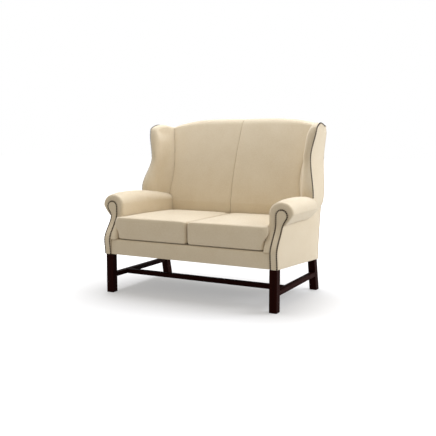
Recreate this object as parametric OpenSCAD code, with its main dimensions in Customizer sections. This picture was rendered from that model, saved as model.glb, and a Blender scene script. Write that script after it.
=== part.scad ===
// High back settee: wings, rolled arms with nailed serpentine fronts, two loose seat cushions.
// X runs along the seat, the front faces -Y and Z is up. Left and right are as seen from the front.
// Every side piece is drawn for the right side and mirrored for the left.

/* [Frame] */
// Width over the outside faces of the legs
frame_w = 1154; // [1050:1:1300]
// Depth from the front faces of the front legs to the outside of the back at the seat frame
frame_d = 659; // [620:1:720]
// Height of the bare front legs, up to the upholstery
leg_h = 245; // [210:1:280]
// Height of the bare rear legs
rear_leg_h = 203; // [170:1:209]
// Square size of the bare legs
bare_leg_w = 46; // [44:1:52]
// Square size of the legs' upper parts, within the frame
leg_w = 38; // [34:1:44]
// How far the rear feet stand behind the seat frame
foot_rake = 47; // [20:1:70]
// Height of the top of the seat rails
rail_top = 325; // [310:1:345]
// Thickness of the seat rails
rail_t = 30; // [22:1:32]
// Thickness of the covering outside the legs and rails
cover = 6; // [4:1:9]

/* [Stretchers] */
// Height of the underside of the stretchers
stretcher_z = 93; // [60:1:130]
// Depth of section of the stretchers
stretcher_h = 27; // [20:1:34]
// Width of section of the stretchers
stretcher_w = 35; // [26:1:37]
// Setback of the middle stretcher behind the front legs' faces
middle_stretcher_y = 168; // [100:1:300]

/* [Arms] */
// Outside radius of the rolled arms
roll_r = 75; // [66:1:84]
// Height of the middle of the arm rolls
roll_z = 545; // [530:1:575]
// Inset of the middle of the rolls from the outside covers
roll_inset = 15; // [8:1:20]
// How much the arm padding thickens at its rear end
arm_swell = 54; // [30:1:60]
// How far the arm fronts swell forward of the legs
arm_bulge = 14; // [10:1:20]
// How far the scrolls stand back from the swell
arm_setback = 78; // [60:1:90]
// Thickness of the arm facings
facing_t = 10; // [8:1:12]
// Width of the arm facings below the scroll
facing_w = 47; // [44:1:52]
// Radius of the nail line round the scroll
scroll_r = 33; // [28:1:36]

/* [Back] */
// Height of the top of the back at its middle
back_top = 1092; // [1040:1:1140]
// Drop of the top line at the wings
top_drop = 50; // [20:1:60]
// Distance from the legs' faces to the inside back at the seat
seat_d = 581; // [560:1:584]
// Depth of section of the back posts and the upright
post_d = 45; // [36:1:48]
// Width of section of the back posts
post_w = 36; // [30:1:40]

/* [Wings] */
// Height of the front upper corner of the wings
wing_corner_z = 1024; // [990:1:1040]
// Distance from the legs' faces to the wing fronts at the arms
wing_front_y = 460; // [430:1:480]
// How far the wing fronts sweep back above the arms
wing_sweep = 90; // [60:1:100]

/* [Cushions] */
// Height of the seat deck that the cushions lie on
deck_top = 339; // [335:1:345]
// Height of the side walls of the cushions
cushion_h = 137; // [110:1:145]
// Rise of the middle of the cushions above their edges
cushion_crown = 14; // [6:1:20]

/* [Nails] */
// Diameter of the nail heads
nail_d = 9.5; // [8:0.1:10]
// Distance from nail to nail
nail_pitch = 10.5; // [10.2:0.1:14]

/* [Hidden] */

// Clearances between soft pieces and between curved ones, and the overrun of cuts
gap = 0.5;
seat_gap = 0.3;
cut = 1;
// Drop of the scrolls' middle below the rolls', and of the arm stumps' tops
scroll_drop = 10;
stump_drop = 5;

// Places across the width
half_w = frame_w / 2;
leg_in = half_w - leg_w;
side_x = half_w + cover;
facing_in = side_x - facing_w;
nail_inset = nail_d / 2 - gap / 2;
head_r = scroll_r + nail_inset;
head_x = facing_in + head_r;
head_z = roll_z - scroll_drop;
neck_r = head_r * 2.4;
neck_z = head_z - sqrt(pow(head_r + neck_r, 2) - pow(side_x + neck_r - head_x, 2));
roll_x = side_x - roll_inset;
arm_in = roll_x - roll_r;
roll_low = roll_r * 0.88;
roll_turn = 72;
crease_z = roll_z - roll_low * sin(roll_turn);
seam_lift = leg_w * 0.95;
post_out = half_w - post_w / 2 + gap * 2;
post_in = post_out - post_w;
board_in = leg_in + leg_w / 4;
board_t = leg_w / 2 + gap * 2;

// Heights along the arm front
bulge_z = mix(leg_h, head_z, 0.3);
setback_z = mix(leg_h, head_z, 0.86);
bulge_foot = arm_bulge * 0.57;

// Curve of the outside back: distance behind the legs' faces at each height
rear_slope_share = 0.058;
rear_bend = (frame_d * 0.272 - rear_slope_share * (back_top - rear_leg_h - top_drop))
    / pow(back_top - rear_leg_h - top_drop, 2);
// Curve of the inside back
inside_slope_share = 0.164;
inside_z = roll_z - stump_drop;
inside_bend = (seat_d * 0.3425 - inside_slope_share * (back_top - inside_z)) / pow(back_top - inside_z, 2);

// How far the wooden frame lies inside the outside back
frame_in = cover / 2 + seat_gap;
rear_rail_y = frame_d - frame_in;

// The whole reaches from the nails on the arm swell to the back's rear top edge
nail_h = nail_d * 0.28;
crest_drop = leg_w + gap * 4;
reach_front = -arm_bulge - nail_h;
reach_rear = rear_y(back_top - crest_drop);
origin_y = (reach_front + reach_rear) / 2;

function mix(a, b, t) = a + (b - a) * t;
function ease(t) = let (c = min(1, max(0, t))) c * c * (3 - 2 * c);
function rear_y(z) = frame_d + rear_slope_share * max(0, z - rear_leg_h)
    + rear_bend * pow(max(0, z - rear_leg_h), 2);
function inside_y(z) = seat_d + inside_slope_share * max(0, z - inside_z)
    + inside_bend * pow(max(0, z - inside_z), 2);
function post_y(z) = rear_y(z) - frame_in - post_d;

// Arm front seen from the side: a swell at the seat and a scroll set back above it
function front_y(z) = z < bulge_z
    ? -arm_bulge + bulge_foot * ease((bulge_z - z) / (bulge_z - leg_h))
    : -arm_bulge + arm_setback * ease((z - bulge_z) / (setback_z - bulge_z));

// Seam under the arm roll, rising behind it
function seam_z(y) = crease_z + seam_lift * ease((y - seat_d * 0.74) / (frame_d * 0.4));

// Top line of the back, a flat arch that falls to the wings
arch_half = half_w * 0.955;
function top_z(x) = back_top - top_drop * pow(min(1, abs(x) / arch_half), 3.8);
// How far the rounding of the top reaches down, deep in the middle and slight at the wings
side_crest_share = 0.2;
function crest_z(x) = top_z(x) - crest_drop * mix(1, side_crest_share, pow(min(1, abs(x) / arch_half), 4));

// Inside back's half width: level with the wings' creases, spreading towards the top
crease_low = half_w * 0.808;
crease_spread = half_w * 0.12;
crease_turn_z = mix(roll_z, back_top, 0.36);
function crease_x(z) = crease_low
    + crease_spread * pow(min(1, max(0, z - crease_turn_z) / (back_top - top_drop - crease_turn_z)), 1.5);

// A curve sampled as [height, depth] points for a board sawn to it
function heights(low, high, steps) = [for (i = [0:steps]) mix(low, high, i / steps)];

// Closed sheet between an outer and an inner grid of points, each a list of equal rows.
// Along a row, then from row to row, turns like a right-handed screw about the outer side.
module sheet(outer, inner) {
    rows = len(outer);
    cols = len(outer[0]);
    count = rows * cols;
    function at(i, j) = i * cols + j;
    function in_at(i, j) = count + i * cols + j;
    polyhedron(points = concat([for (r = outer) each r], [for (r = inner) each r]), faces = concat(
        [for (i = [0:rows - 2], j = [0:cols - 2]) each [
            [at(i, j), at(i + 1, j + 1), at(i, j + 1)],
            [at(i, j), at(i + 1, j), at(i + 1, j + 1)],
            [in_at(i, j), in_at(i, j + 1), in_at(i + 1, j + 1)],
            [in_at(i, j), in_at(i + 1, j + 1), in_at(i + 1, j)]]],
        [for (j = [0:cols - 2]) each [
            [at(0, j), at(0, j + 1), in_at(0, j + 1)],
            [at(0, j), in_at(0, j + 1), in_at(0, j)],
            [at(rows - 1, j + 1), at(rows - 1, j), in_at(rows - 1, j)],
            [at(rows - 1, j + 1), in_at(rows - 1, j), in_at(rows - 1, j + 1)]]],
        [for (i = [0:rows - 2]) each [
            [at(i + 1, 0), at(i, 0), in_at(i, 0)],
            [at(i + 1, 0), in_at(i, 0), in_at(i + 1, 0)],
            [at(i, cols - 1), at(i + 1, cols - 1), in_at(i + 1, cols - 1)],
            [at(i, cols - 1), in_at(i + 1, cols - 1), in_at(i, cols - 1)]]]));
}

// Closed skin over a stack of rings from a low pole to a high pole
module onion(rings, low, high) {
    rows = len(rings);
    cols = len(rings[0]);
    function at(i, j) = i * cols + j % cols;
    polyhedron(points = concat([for (r = rings) each r], [low, high]), faces = concat(
        [for (i = [0:rows - 2], j = [0:cols - 1]) each [
            [at(i, j), at(i + 1, j + 1), at(i, j + 1)],
            [at(i, j), at(i + 1, j), at(i + 1, j + 1)]]],
        [for (j = [0:cols - 1]) [at(0, j), at(0, j + 1), rows * cols]],
        [for (j = [0:cols - 1]) [at(rows - 1, j + 1), at(rows - 1, j), rows * cols + 1]]));
}

// Columns of the back pads, also the steps of the outside back's arched top
back_col_shares = [0, 0.05, 0.25, 0.45, 0.62, 0.77, 0.9, 1];

// Moves the model from the legs' faces to the middle of its depth
module placed() {
    translate([0, -origin_y, 0]) children();
}

module left() {
    placed() mirror([1, 0, 0]) children();
}

// Board of an outline drawn in depth and height, standing from x to x + t
module board_yz(x, t, outline) {
    translate([x, 0, 0]) rotate([90, 0, 90]) linear_extrude(t) polygon(outline);
}

// Board of an outline drawn in width and height, reaching from y to y + t
module board_xz(y, t, outline) {
    translate([0, y + t, 0]) rotate([90, 0, 0]) linear_extrude(t) polygon(outline);
}

module block(low, high) {
    translate(low) cube(high - low);
}

// Legs and stretchers

bare_leg_in = half_w - bare_leg_w;
shoulder_z = mix(leg_h, rear_leg_h, bare_leg_w / frame_d);

// Bare square leg with shoulders on its inner sides, under the slimmer part that the rails join
module front_leg() {
    color("#2a0d07") union() {
        block([bare_leg_in, 0, 0], [half_w, bare_leg_w, shoulder_z]);
        block([leg_in, 0, 0], [half_w, leg_w, rail_top]);
    }
}

rear_foot_y = frame_d - frame_in + foot_rake;
function rear_leg_rear(z) = mix(rear_foot_y, rear_rail_y, z / rear_leg_h);

module rear_leg() {
    color("#2a0d07") union() {
        board_yz(bare_leg_in, bare_leg_w, [
            [rear_foot_y - bare_leg_w, 0], [rear_foot_y, 0],
            [rear_rail_y, rear_leg_h], [rear_rail_y - bare_leg_w, rear_leg_h]]);
        board_yz(leg_in, leg_w, concat(
            [[rear_foot_y - leg_w, 0], [rear_foot_y, 0]],
            [for (z = heights(rear_leg_h, rail_top, 4)) [rear_y(z) - frame_in, z]],
            [[post_y(rail_top), rail_top], [rear_rail_y - leg_w, rear_leg_h]]));
    }
}

module side_stretcher() {
    low = stretcher_z;
    high = stretcher_z + stretcher_h;
    inset = (leg_w - stretcher_w) / 2;
    color("#2a0d07") board_yz(leg_in + inset, stretcher_w, [
        [bare_leg_w, low], [rear_leg_rear(low) - bare_leg_w, low],
        [rear_leg_rear(high) - bare_leg_w, high], [bare_leg_w, high]]);
}

module middle_stretcher() {
    reach = leg_in + (leg_w - stretcher_w) / 2;
    color("#2a0d07") placed() block([-reach, middle_stretcher_y, stretcher_z],
        [reach, middle_stretcher_y + stretcher_w, stretcher_z + stretcher_h]);
}

// Seat frame

rail_inset = cover - cut;
rail_in = half_w - rail_t;
function rail_low(y) = mix(leg_h, rear_leg_h, y / frame_d) + gap * 6;

module front_seat_rail() {
    color("burlywood") placed() block([-leg_in, rail_inset, rail_low(0)],
        [leg_in, rail_inset + rail_t, rail_top]);
}

module rear_seat_rail() {
    color("burlywood") placed() block([-leg_in, rear_rail_y - rail_t, rail_low(rear_rail_y - rail_t)],
        [leg_in, rear_rail_y, rail_top]);
}

module side_seat_rail() {
    rear = rear_rail_y - leg_w;
    rear_top = post_y(rail_top);
    color("burlywood") board_yz(rail_in, rail_t, [
        [leg_w, rail_low(leg_w)], [rear, rail_low(rear)], [rear_top, rail_top], [leg_w, rail_top]]);
}

module centre_seat_rail() {
    front = rail_inset + rail_t;
    rear = rear_rail_y - rail_t;
    color("burlywood") placed() board_yz(-rail_t / 2, rail_t, [
        [front, rail_low(0) + cover * 3], [rear, rail_low(0) + cover * 3],
        [rear, rail_top], [front, rail_top]]);
}

module corner_block(rail_y, leg_y, way) {
    reach = leg_w * 1.8;
    translate([0, 0, rail_top - leg_w * 1.4]) linear_extrude(leg_w) polygon([
        [leg_in, rail_y], [leg_in - reach, rail_y], [rail_in, leg_y + way * reach],
        [rail_in, leg_y], [leg_in, leg_y]]);
}

module corner_blocks() {
    color("tan") placed() for (side = [0, 1]) mirror([side, 0, 0]) {
        corner_block(rail_inset + rail_t, leg_w, 1);
        corner_block(rear_rail_y - rail_t, rear_rail_y - leg_w, -1);
    }
}

// Back frame

post_top = back_top - top_drop - leg_w * 0.9;

// Outline of a piece sawn to the curve of the back, from depth a to depth b inside the outside back
function sawn(low, high, a, b, steps) = concat(
    [for (z = heights(low, high, steps)) [rear_y(z) - a, z]],
    [for (z = heights(high, low, steps)) [rear_y(z) - b, z]]);

module back_post() {
    color("burlywood") board_yz(post_in, post_w, sawn(rail_top, post_top, frame_in, frame_in + post_d, 12));
}

rail_low_z = post_top - leg_w * 1.4;
pad_top = leg_w * 0.8;
function roof_z(x) = min(top_z(x) - pad_top, crest_z(x) - gap * 6);

module top_rail() {
    arch = [for (i = [-8:8]) [post_in * i / 8, roof_z(post_in * i / 8)]];
    color("burlywood") placed() intersection() {
        board_yz(-post_in, 2 * post_in, sawn(rail_low_z, back_top, frame_in, frame_in + rail_t, 6));
        board_xz(seat_d, frame_d, concat([[post_in, rail_low_z], [-post_in, rail_low_z]], arch));
    }
}

tuck_z = roll_z - roll_r * 2;

module lower_back_rails() {
    color("burlywood") placed() for (side = [0, 1]) mirror([side, 0, 0])
        board_yz(post_w / 2, post_in - post_w / 2,
            sawn(tuck_z, tuck_z + leg_w, frame_in, frame_in + rail_t, 2));
}

module back_upright() {
    color("burlywood") placed() board_yz(-post_w / 2, post_w,
        sawn(rail_top, rail_low_z, frame_in, frame_in + post_d, 10));
}

// Arm and wing frames

stump_top = roll_z - stump_drop;
stump_d = leg_w * 1.6;
rail_depth = leg_w * 0.92;

function stump_rear(z) = front_y(z) + facing_t + stump_d;

module arm_stump() {
    levels = heights(rail_top, stump_top, 20);
    color("burlywood") board_yz(leg_in, leg_w, concat(
        [for (z = levels) [max(0, front_y(z) + facing_t) + gap, z]],
        [for (i = [len(levels) - 1:-1:0]) [stump_rear(levels[i]), levels[i]]]));
}

module arm_rail() {
    front = stump_rear(stump_top);
    low = stump_top - rail_depth;
    color("burlywood") board_yz(leg_in, leg_w, [
        [front, low], [post_y(low) - seat_gap, low],
        [post_y(stump_top) - seat_gap, stump_top], [front, stump_top]]);
}

module arm_tacking_rail() {
    low = deck_top + leg_w * 0.6;
    high = low + rail_t;
    color("burlywood") board_yz(board_in, half_w - board_in, [
        [stump_rear(low) + seat_gap, low], [post_y(low) - seat_gap, low],
        [post_y(high) - seat_gap, high], [stump_rear(high) + seat_gap, high]]);
}

// Nail line of the wing from the arm up its front and back along its top, t from 0 to 1
wing_rows = 21;
front_rows = 13;
edge_turn_share = front_rows / wing_rows;
edge_low_z = roll_z + roll_r * 0.4;
wing_out_low = side_x + roll_r * 0.42;
wing_waist = roll_r * 0.57;
wing_flare = roll_r * 0.36;
wing_rear_x = half_w - leg_w * 0.38;
wing_hump = leg_w * 0.9;
waist_z = mix(roll_z, wing_corner_z, 0.62);
wing_mid_y = wing_front_y + wing_sweep * 0.67;
corner_y = wing_front_y + wing_sweep;
wing_reach_y = rear_y(back_top - top_drop) - cover / 2 - gap;

function front_edge(z) = [
    wing_out_low - wing_waist * ease((z - roll_z - roll_r) / (waist_z - roll_z - roll_r))
        + wing_flare * ease((z - waist_z) / (wing_corner_z - waist_z)),
    mix(wing_front_y, wing_mid_y, ease((z - roll_z - roll_r * 1.2) / (waist_z - roll_z - roll_r * 1.2)))
        + (corner_y - wing_mid_y) * pow(max(0, z - waist_z) / (wing_corner_z - waist_z), 2),
    z];
corner_x = front_edge(wing_corner_z)[0];
hump_y = corner_y + wing_sweep * 0.75;
function top_edge(y) = [
    corner_x - (corner_x - wing_rear_x) * pow((y - corner_y) / (wing_reach_y - corner_y), 1.6),
    y,
    wing_corner_z + (y < hump_y
        ? wing_hump * sqrt(max(0, 1 - pow((hump_y - y) / (hump_y - corner_y), 2)))
        : wing_hump - wing_hump * 0.5 * ease((y - hump_y) / (wing_reach_y - hump_y) * 1.3))];
function edge(t) = t < edge_turn_share
    ? front_edge(mix(edge_low_z, wing_corner_z, t / edge_turn_share))
    : top_edge(mix(corner_y, wing_reach_y, pow((t - edge_turn_share) / (1 - edge_turn_share), 1.25)));
// Direction in which the padded edge swells, forward on the front and up on the top
function edge_way(t) = let (a = 90 * ease((t - edge_turn_share * 0.8) / (edge_turn_share * 0.4)))
    [0, -cos(a), sin(a)];
// Crease between the wing and the inside back, shared row by row by both pads
crease_rows = 17;
side_crest_z = crest_z(crease_x(back_top - top_drop));
function crease_level(i) = mix(roll_z + scroll_drop, side_crest_z, sin(90 * i / crease_rows));
function crease(t) = let (i = t * wing_rows)
    i <= crease_rows
    ? let (z = crease_level(i)) [crease_x(z) + gap, inside_y(z) - gap, z]
    : let (s = (i - crease_rows) / (wing_rows - crease_rows),
            y = mix(inside_y(side_crest_z), wing_reach_y, s))
        [mix(crease_x(side_crest_z) + gap, wing_rear_x - cover, s), y, side_crest_z + gap * 6 * s];
function edge_width(t) = let (e = edge(t), c = crease(t),
        full = mix(roll_r, leg_w * 1.2, ease((e[2] - roll_z - roll_r) / (waist_z - roll_z - roll_r))))
    min((e[0] - c[0]) * 0.75,
        full - leg_w * 0.55 * pow(max(0, e[2] - waist_z) / (wing_corner_z - waist_z), 2));
// Inside face of the wing post, kept within the outside cover where the wing narrows
function wing_board_x(z) = min(board_in, front_edge(min(z, wing_corner_z))[0] - board_t - cover * 1.8);
wing_frame_top = wing_corner_z - leg_w * 1.7;
edge_swell = leg_w * 0.3;
edge_pad = leg_w * 0.63;
panel_t = cover / 2;

function wing_face(t, j) = let (e = edge(t), c = crease(t), d = edge_way(t), w = edge_width(t))
    j <= 6
    ? e + [w / 2 * (cos(30 * j) - 1), 0, 0] + d * edge_swell * sin(30 * j)
    : let (s = (j - 6) / 6, i = e - [w, 0, 0]) mix(i, c, s) - [edge_swell * 0.5 * sin(180 * s), 0, 0];
function held_in(p) = [p[0], min(p[1], rear_y(p[2]) - panel_t - gap), p[2]];
function wing_back(t, j) = let (e = edge(t), c = crease(t), d = edge_way(t),
        rise = ease((t - 0.75) / 0.2),
        low_x = mix(wing_board_x(waist_z) - gap, c[0] + edge_pad * 0.6,
            ease((c[2] - waist_z + leg_w) / (leg_w * 2))),
        tuck = [mix(low_x, c[0] + panel_t, rise), c[1], c[2] - edge_pad * 0.6 * rise],
        hold = mix(wing_board_x(e[2]) - gap, e[0] - edge_width(t) * 0.7,
            ease((t - edge_turn_share * 0.9) / (edge_turn_share * 0.25))),
        turn = [hold, e[1], e[2]] - d * edge_pad)
    j == 0 ? e - [panel_t + gap * 2, 0, 0]
    : held_in(j <= 6 ? mix(e - [panel_t * 3, 0, 0] - d * edge_pad * 0.5, turn, (j - 1) / 5)
        : mix(turn, tuck, (j - 6) / 6));

module wing_body() {
    sheet([for (i = [wing_rows:-1:0]) [for (j = [0:12]) wing_face(i / wing_rows, j)]],
        [for (i = [wing_rows:-1:0]) [for (j = [0:12]) wing_back(i / wing_rows, j)]]);
}

// Arm padding: a band from the deck up the inside, over the roll and down to the crease under it
face_cols = 8;
arc_cols = 16;
swell_y = seat_d * 0.4;
arm_rear_y = seat_d - gap;
roll_end_y = wing_front_y + roll_r;
function arm_in_x(y) = arm_in + gap * 4 - arm_swell * pow(max(0, y - swell_y) / (seat_d - swell_y), 2);
function roll_top(y) = roll_r * (1.04 - 0.36 * pow((y - swell_y) / (seat_d - swell_y), 2));
function roll_out(y) = y < wing_front_y ? roll_r
    : mix(roll_r * 0.28, roll_r, sqrt(max(0, 1 - pow((y - wing_front_y) / (roll_end_y - wing_front_y), 2))));
function turn(j) = 180 - (180 + roll_turn) * (j - face_cols) / arc_cols;
function bend(v, s) = sign(v) * pow(abs(v), s);
function arm_face(j, y, grow) = j < face_cols
    ? [arm_in_x(y) - grow, 0, mix(deck_top + gap, roll_z, j / face_cols)]
    : let (a = turn(j), s = mix(1, 0.85, ease((y - swell_y) / (seat_d - swell_y))))
        [roll_x + ((cos(a) < 0 ? roll_x - arm_in_x(y) : roll_out(y)) + grow) * bend(cos(a), s),
            0, sin(a) > 0 ? roll_z + (roll_top(y) + grow) * bend(sin(a), s)
                : roll_z - (roll_z - seam_z(y)) * pow(sin(a) / sin(roll_turn), 2) + grow * sin(a)];
function neck_x(z) = z > head_z - head_r * (head_z - neck_z) / (head_r + neck_r)
    ? head_x + sqrt(max(0, head_r * head_r - pow(z - head_z, 2)))
    : z > neck_z ? side_x + neck_r - sqrt(neck_r * neck_r - pow(z - neck_z, 2)) : side_x;
neck_start = -20;
function key_point(j) = j < face_cols
    ? [facing_in - gap, 0, mix(deck_top + gap, head_z, j / face_cols)]
    : let (a = turn(j)) a >= neck_start
        ? [head_x + (head_r + gap) * cos(a), 0, head_z + (head_r + gap) * sin(a)]
        : let (z = mix(head_z + head_r * sin(neck_start), crease_z,
                (neck_start - a) / (neck_start - turn(face_cols + arc_cols))))
            [neck_x(z) + gap, 0, z];
function arm_core(j, y) = j <= face_cols + 1
    ? [leg_in - gap, 0, mix(deck_top + gap, stump_top + gap, j / (face_cols + 1))]
    : let (a = turn(j)) a > 0
        ? [mix(leg_in - gap, half_w + gap, min(1, (turn(face_cols + 1) - a) / 150)), 0, stump_top + gap]
        : [half_w + gap, 0, mix(stump_top + gap, seam_z(y), a / turn(face_cols + arc_cols))];
ring_shares = [0, 0.45, 0.85, 1];
ring_depths = [gap * 4, -gap * 2, leg_w * 0.1, leg_w * 0.5];
core_depths = [gap, gap * 3, gap * 9, leg_w * 0.5];
run_shares = [0.12, 0.3, 0.48, 0.64, 0.74, 0.82, 0.88, 0.93, 1];
function at_y(p, y) = [p[0], y, p[2]];
function arm_run(j, s, grow) = let (z = arm_face(j, swell_y, 0)[2],
        y = mix(front_y(z) + ring_depths[3], arm_rear_y, s))
    at_y(arm_face(j, y, grow), y);
function arm_row(i, grow) = [for (j = [0:face_cols + arc_cols])
    i < 4
    ? let (o = arm_face(j, ring_depths[3], grow), k = key_point(j), p = mix(k, o, ring_shares[i]))
        at_y(p, front_y(p[2]) + ring_depths[i])
    : arm_run(j, run_shares[i - 4], grow)];
function core_row(i) = [for (j = [0:face_cols + arc_cols])
    let (y = i < 4 ? 0 : arm_run(j, run_shares[i - 4], 0)[1],
        core = arm_core(j, y),
        p = i == 0 ? key_point(j) : i == 1 ? mix(key_point(j), core, 0.15) : core)
    at_y(p, i < 4 ? max(0, front_y(p[2]) + facing_t) + core_depths[i] : y)];
arm_rows = 12;
module arm_body() {
    sheet([for (i = [0:arm_rows]) arm_row(i, 0)], [for (i = [0:arm_rows]) core_row(i)]);
}

// Space that the arm takes, with clearance, for what stands on it or beside it
module arm_space() {
    cols = face_cols + arc_cols;
    rows = [for (s = [0.3, 0.48, 0.64, 0.74, 0.82, 0.88, 0.93, 1]) [for (j = [0:cols]) arm_run(j, s, gap)]];
    flat = [for (r = rows) [for (j = [0:cols]) [roll_x, r[j][1], min(r[j][2], roll_z)]]];
    sheet(rows, flat);
}

module wing_post_shape(grow) {
    low = stump_top;
    high = wing_frame_top;
    levels = heights(low, high, 14);
    intersection() {
        board_yz(board_in - board_t, board_t * 4, concat(
            [for (z = levels) [front_edge(z)[1] + edge_pad + gap - grow, z]],
            [for (i = [len(levels) - 1:-1:0]) let (z = levels[i])
                [front_edge(z)[1] + edge_pad + leg_w * 1.2 + grow, z]]));
        board_xz(wing_front_y, wing_sweep * 4, concat(
            [for (z = levels) [wing_board_x(z) - grow, z]],
            [for (i = [len(levels) - 1:-1:0]) [wing_board_x(levels[i]) + board_t + grow, levels[i]]]));
    }
}

module wing_post() {
    color("burlywood") wing_post_shape(0);
}

// Rail from the wing post back to the back post, under the wing's top
module wing_top_rail() {
    high = wing_frame_top;
    low = high - leg_w;
    front = front_edge(high)[1] + edge_pad + leg_w * 1.2 + gap * 2;
    rear = post_y(high);
    front_x = wing_board_x(high);
    color("burlywood") translate([0, 0, low]) linear_extrude(leg_w) polygon([
        [front_x, front], [post_in, rear - leg_w], [post_in, post_y(low)], [post_out, post_y(low)],
        [post_out, rear - leg_w], [front_x + board_t, front]]);
}

// Springing and linings

strap_w = leg_w * 1.3;
strap_t = gap * 4;
long_straps = 8;
cross_straps = 4;

module seat_webbing_long() {
    span = 2 * leg_in - strap_w * 2;
    color("saddlebrown") placed() for (i = [0:long_straps - 1])
        translate([-span / 2 + span * i / (long_straps - 1), 0, rail_top])
            block([-strap_w / 2, rail_inset, 0], [strap_w / 2, rear_rail_y, strap_t]);
}

module seat_webbing_cross() {
    front = rail_inset + rail_t + stump_d;
    rear = rear_rail_y - rail_t - strap_w;
    color("saddlebrown") placed() for (i = [0:cross_straps - 1])
        translate([0, mix(front, rear - strap_w, i / (cross_straps - 1)), rail_top + strap_t])
            block([-leg_in + gap, 0, 0], [leg_in - gap, strap_w, strap_t]);
}

back_straps = 5;
module back_webbing() {
    low = tuck_z + leg_w * 1.2;
    high = rail_low_z - 2 * strap_w;
    color("saddlebrown") placed() for (i = [0:back_straps - 1]) {
        z = mix(low, high, i / (back_straps - 1));
        board_yz(-post_out, 2 * post_out, [
            [post_y(z) - seat_gap, z], [post_y(z + strap_w) - seat_gap, z + strap_w],
            [post_y(z + strap_w) - seat_gap - strap_t, z + strap_w], [post_y(z) - seat_gap - strap_t, z]]);
    }
}

module seat_deck() {
    color("ivory") placed() block([-leg_in + gap, rail_inset + rail_t, rail_top + 2 * strap_t],
        [leg_in - gap, post_y(rail_top) - gap, deck_top]);
}

module dust_cover() {
    t = gap * 3;
    function slope(y) = rail_low(y);
    color("#222222") placed() for (part = [[leg_in - gap, rail_inset, rear_rail_y],
            [rail_in + rail_t / 2, leg_w + gap, rear_rail_y - leg_w - gap]])
        board_yz(-part[0], 2 * part[0], [
            [part[1], slope(part[1]) - t], [part[2], slope(part[2]) - t],
            [part[2], slope(part[2])], [part[1], slope(part[1])]]);
}

// Covers

border_y = -cover / 2;
module front_border() {
    r = cover * 1.5;
    reach = facing_in - gap;
    depth = rail_inset - border_y + rail_t;
    color("#e6dcc4") placed() translate([-reach, 0, 0]) rotate([90, 0, 90]) linear_extrude(2 * reach)
        difference() {
            union() {
                translate([border_y, leg_h]) square([depth, deck_top - r - leg_h]);
                translate([border_y + r, leg_h]) square([depth - r, deck_top - leg_h]);
                translate([border_y + r, deck_top - r]) circle(r, $fn = 48);
            }
            translate([rail_inset, leg_h - cut]) square([rail_t + cut, rail_top + strap_t + cut - leg_h]);
        }
}

// Front outline of the facing: a strip as wide as the leg under a round scroll, with a hollow neck
module facing_outline() {
    union() {
        translate([facing_in, leg_h]) square([facing_w, head_z - leg_h]);
        translate([head_x, head_z]) circle(head_r, $fn = 64);
        difference() {
            polygon([[side_x - cut, neck_z], [side_x + neck_r, neck_z], [head_x, head_z],
                [side_x - cut, head_z]]);
            translate([side_x + neck_r, neck_z]) circle(neck_r, $fn = 128);
        }
    }
}

// The facing lies flat on the leg, then follows the stump behind it
function facing_rear(z) = z < rail_top ? 0 : max(0, front_y(z) + facing_t);

module arm_facing() {
    levels = heights(leg_h, head_z + head_r + cut, 32);
    color("#e6dcc4") intersection() {
        board_yz(facing_in - cut, head_r * 3, concat(
            [for (z = levels) [front_y(z), z]],
            [for (i = [len(levels) - 1:-1:0]) [facing_rear(levels[i]), levels[i]]]));
        translate([0, frame_d, 0]) rotate([90, 0, 0]) linear_extrude(frame_d * 2) facing_outline();
    }
}

module outside_arm() {
    fronts = heights(leg_h, crease_z - gap, 16);
    rears = heights(rear_leg_h, seam_z(frame_d) - gap, 8);
    seams = heights(rear_y(seam_z(frame_d)) - panel_t - gap, front_y(crease_z) + facing_t + gap, 14);
    color("#e6dcc4") board_yz(half_w, cover, concat(
        [for (i = [len(fronts) - 1:-1:0]) [max(gap, front_y(fronts[i]) + facing_t + gap), fronts[i]]],
        [for (z = rears) [rear_y(z) - panel_t - gap, z]],
        [for (y = seams) [y, seam_z(y) - gap * 2]]));
}

// Outside of the wing: from the nail line back to the rear edge, flared over the arm
rear_out = side_x + leg_w * 0.38;
function rear_edge(z) = [rear_out - (rear_out - wing_rear_x - cover * 0.6)
        * ease((z - roll_z - roll_r * 1.5) / (waist_z - roll_z - roll_r * 1.2))
        - cover * 0.6 * ease((z - wing_corner_z) / (back_top - top_drop - wing_corner_z)),
    rear_y(z) - panel_t - gap, z];
wing_dip = roll_r * 0.9;
function wing_side(u, v, deep) = let (
        f = edge(v * edge_turn_share),
        r = rear_edge(mix(seam_z(frame_d), back_top - top_drop, v)),
        y = mix(f[1], r[1], u),
        line = mix(f[2], r[2], u),
        over = pow(v, 6) * (top_edge(min(wing_reach_y, max(corner_y, y)))[2]
            - mix(wing_corner_z, back_top - top_drop, u)),
        dip = wing_dip * sin(180 * pow(u, 0.7)) * pow(1 - v, 2),
        tuck = cover * 1.3 * pow(1 - v, 6) * u)
    [mix(f[0], r[0], pow(u, 1.6)) - tuck - deep - gap * 0.4, y + gap * (1 - u) * (1 - pow(v, 8)),
        line + over - dip - gap * pow(v, 4)];

module wing_skin() {
    cols = wing_rows - front_rows;
    function layer(deep) = [for (i = [0:front_rows])
        [for (j = [0:cols]) wing_side(pow(j / cols, 1.25), i / front_rows, deep)]];
    sheet(layer(0), layer(panel_t));
}

module outside_wing() {
    color("#e6dcc4") difference() {
        wing_skin();
        arm_space();
    }
}

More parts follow.
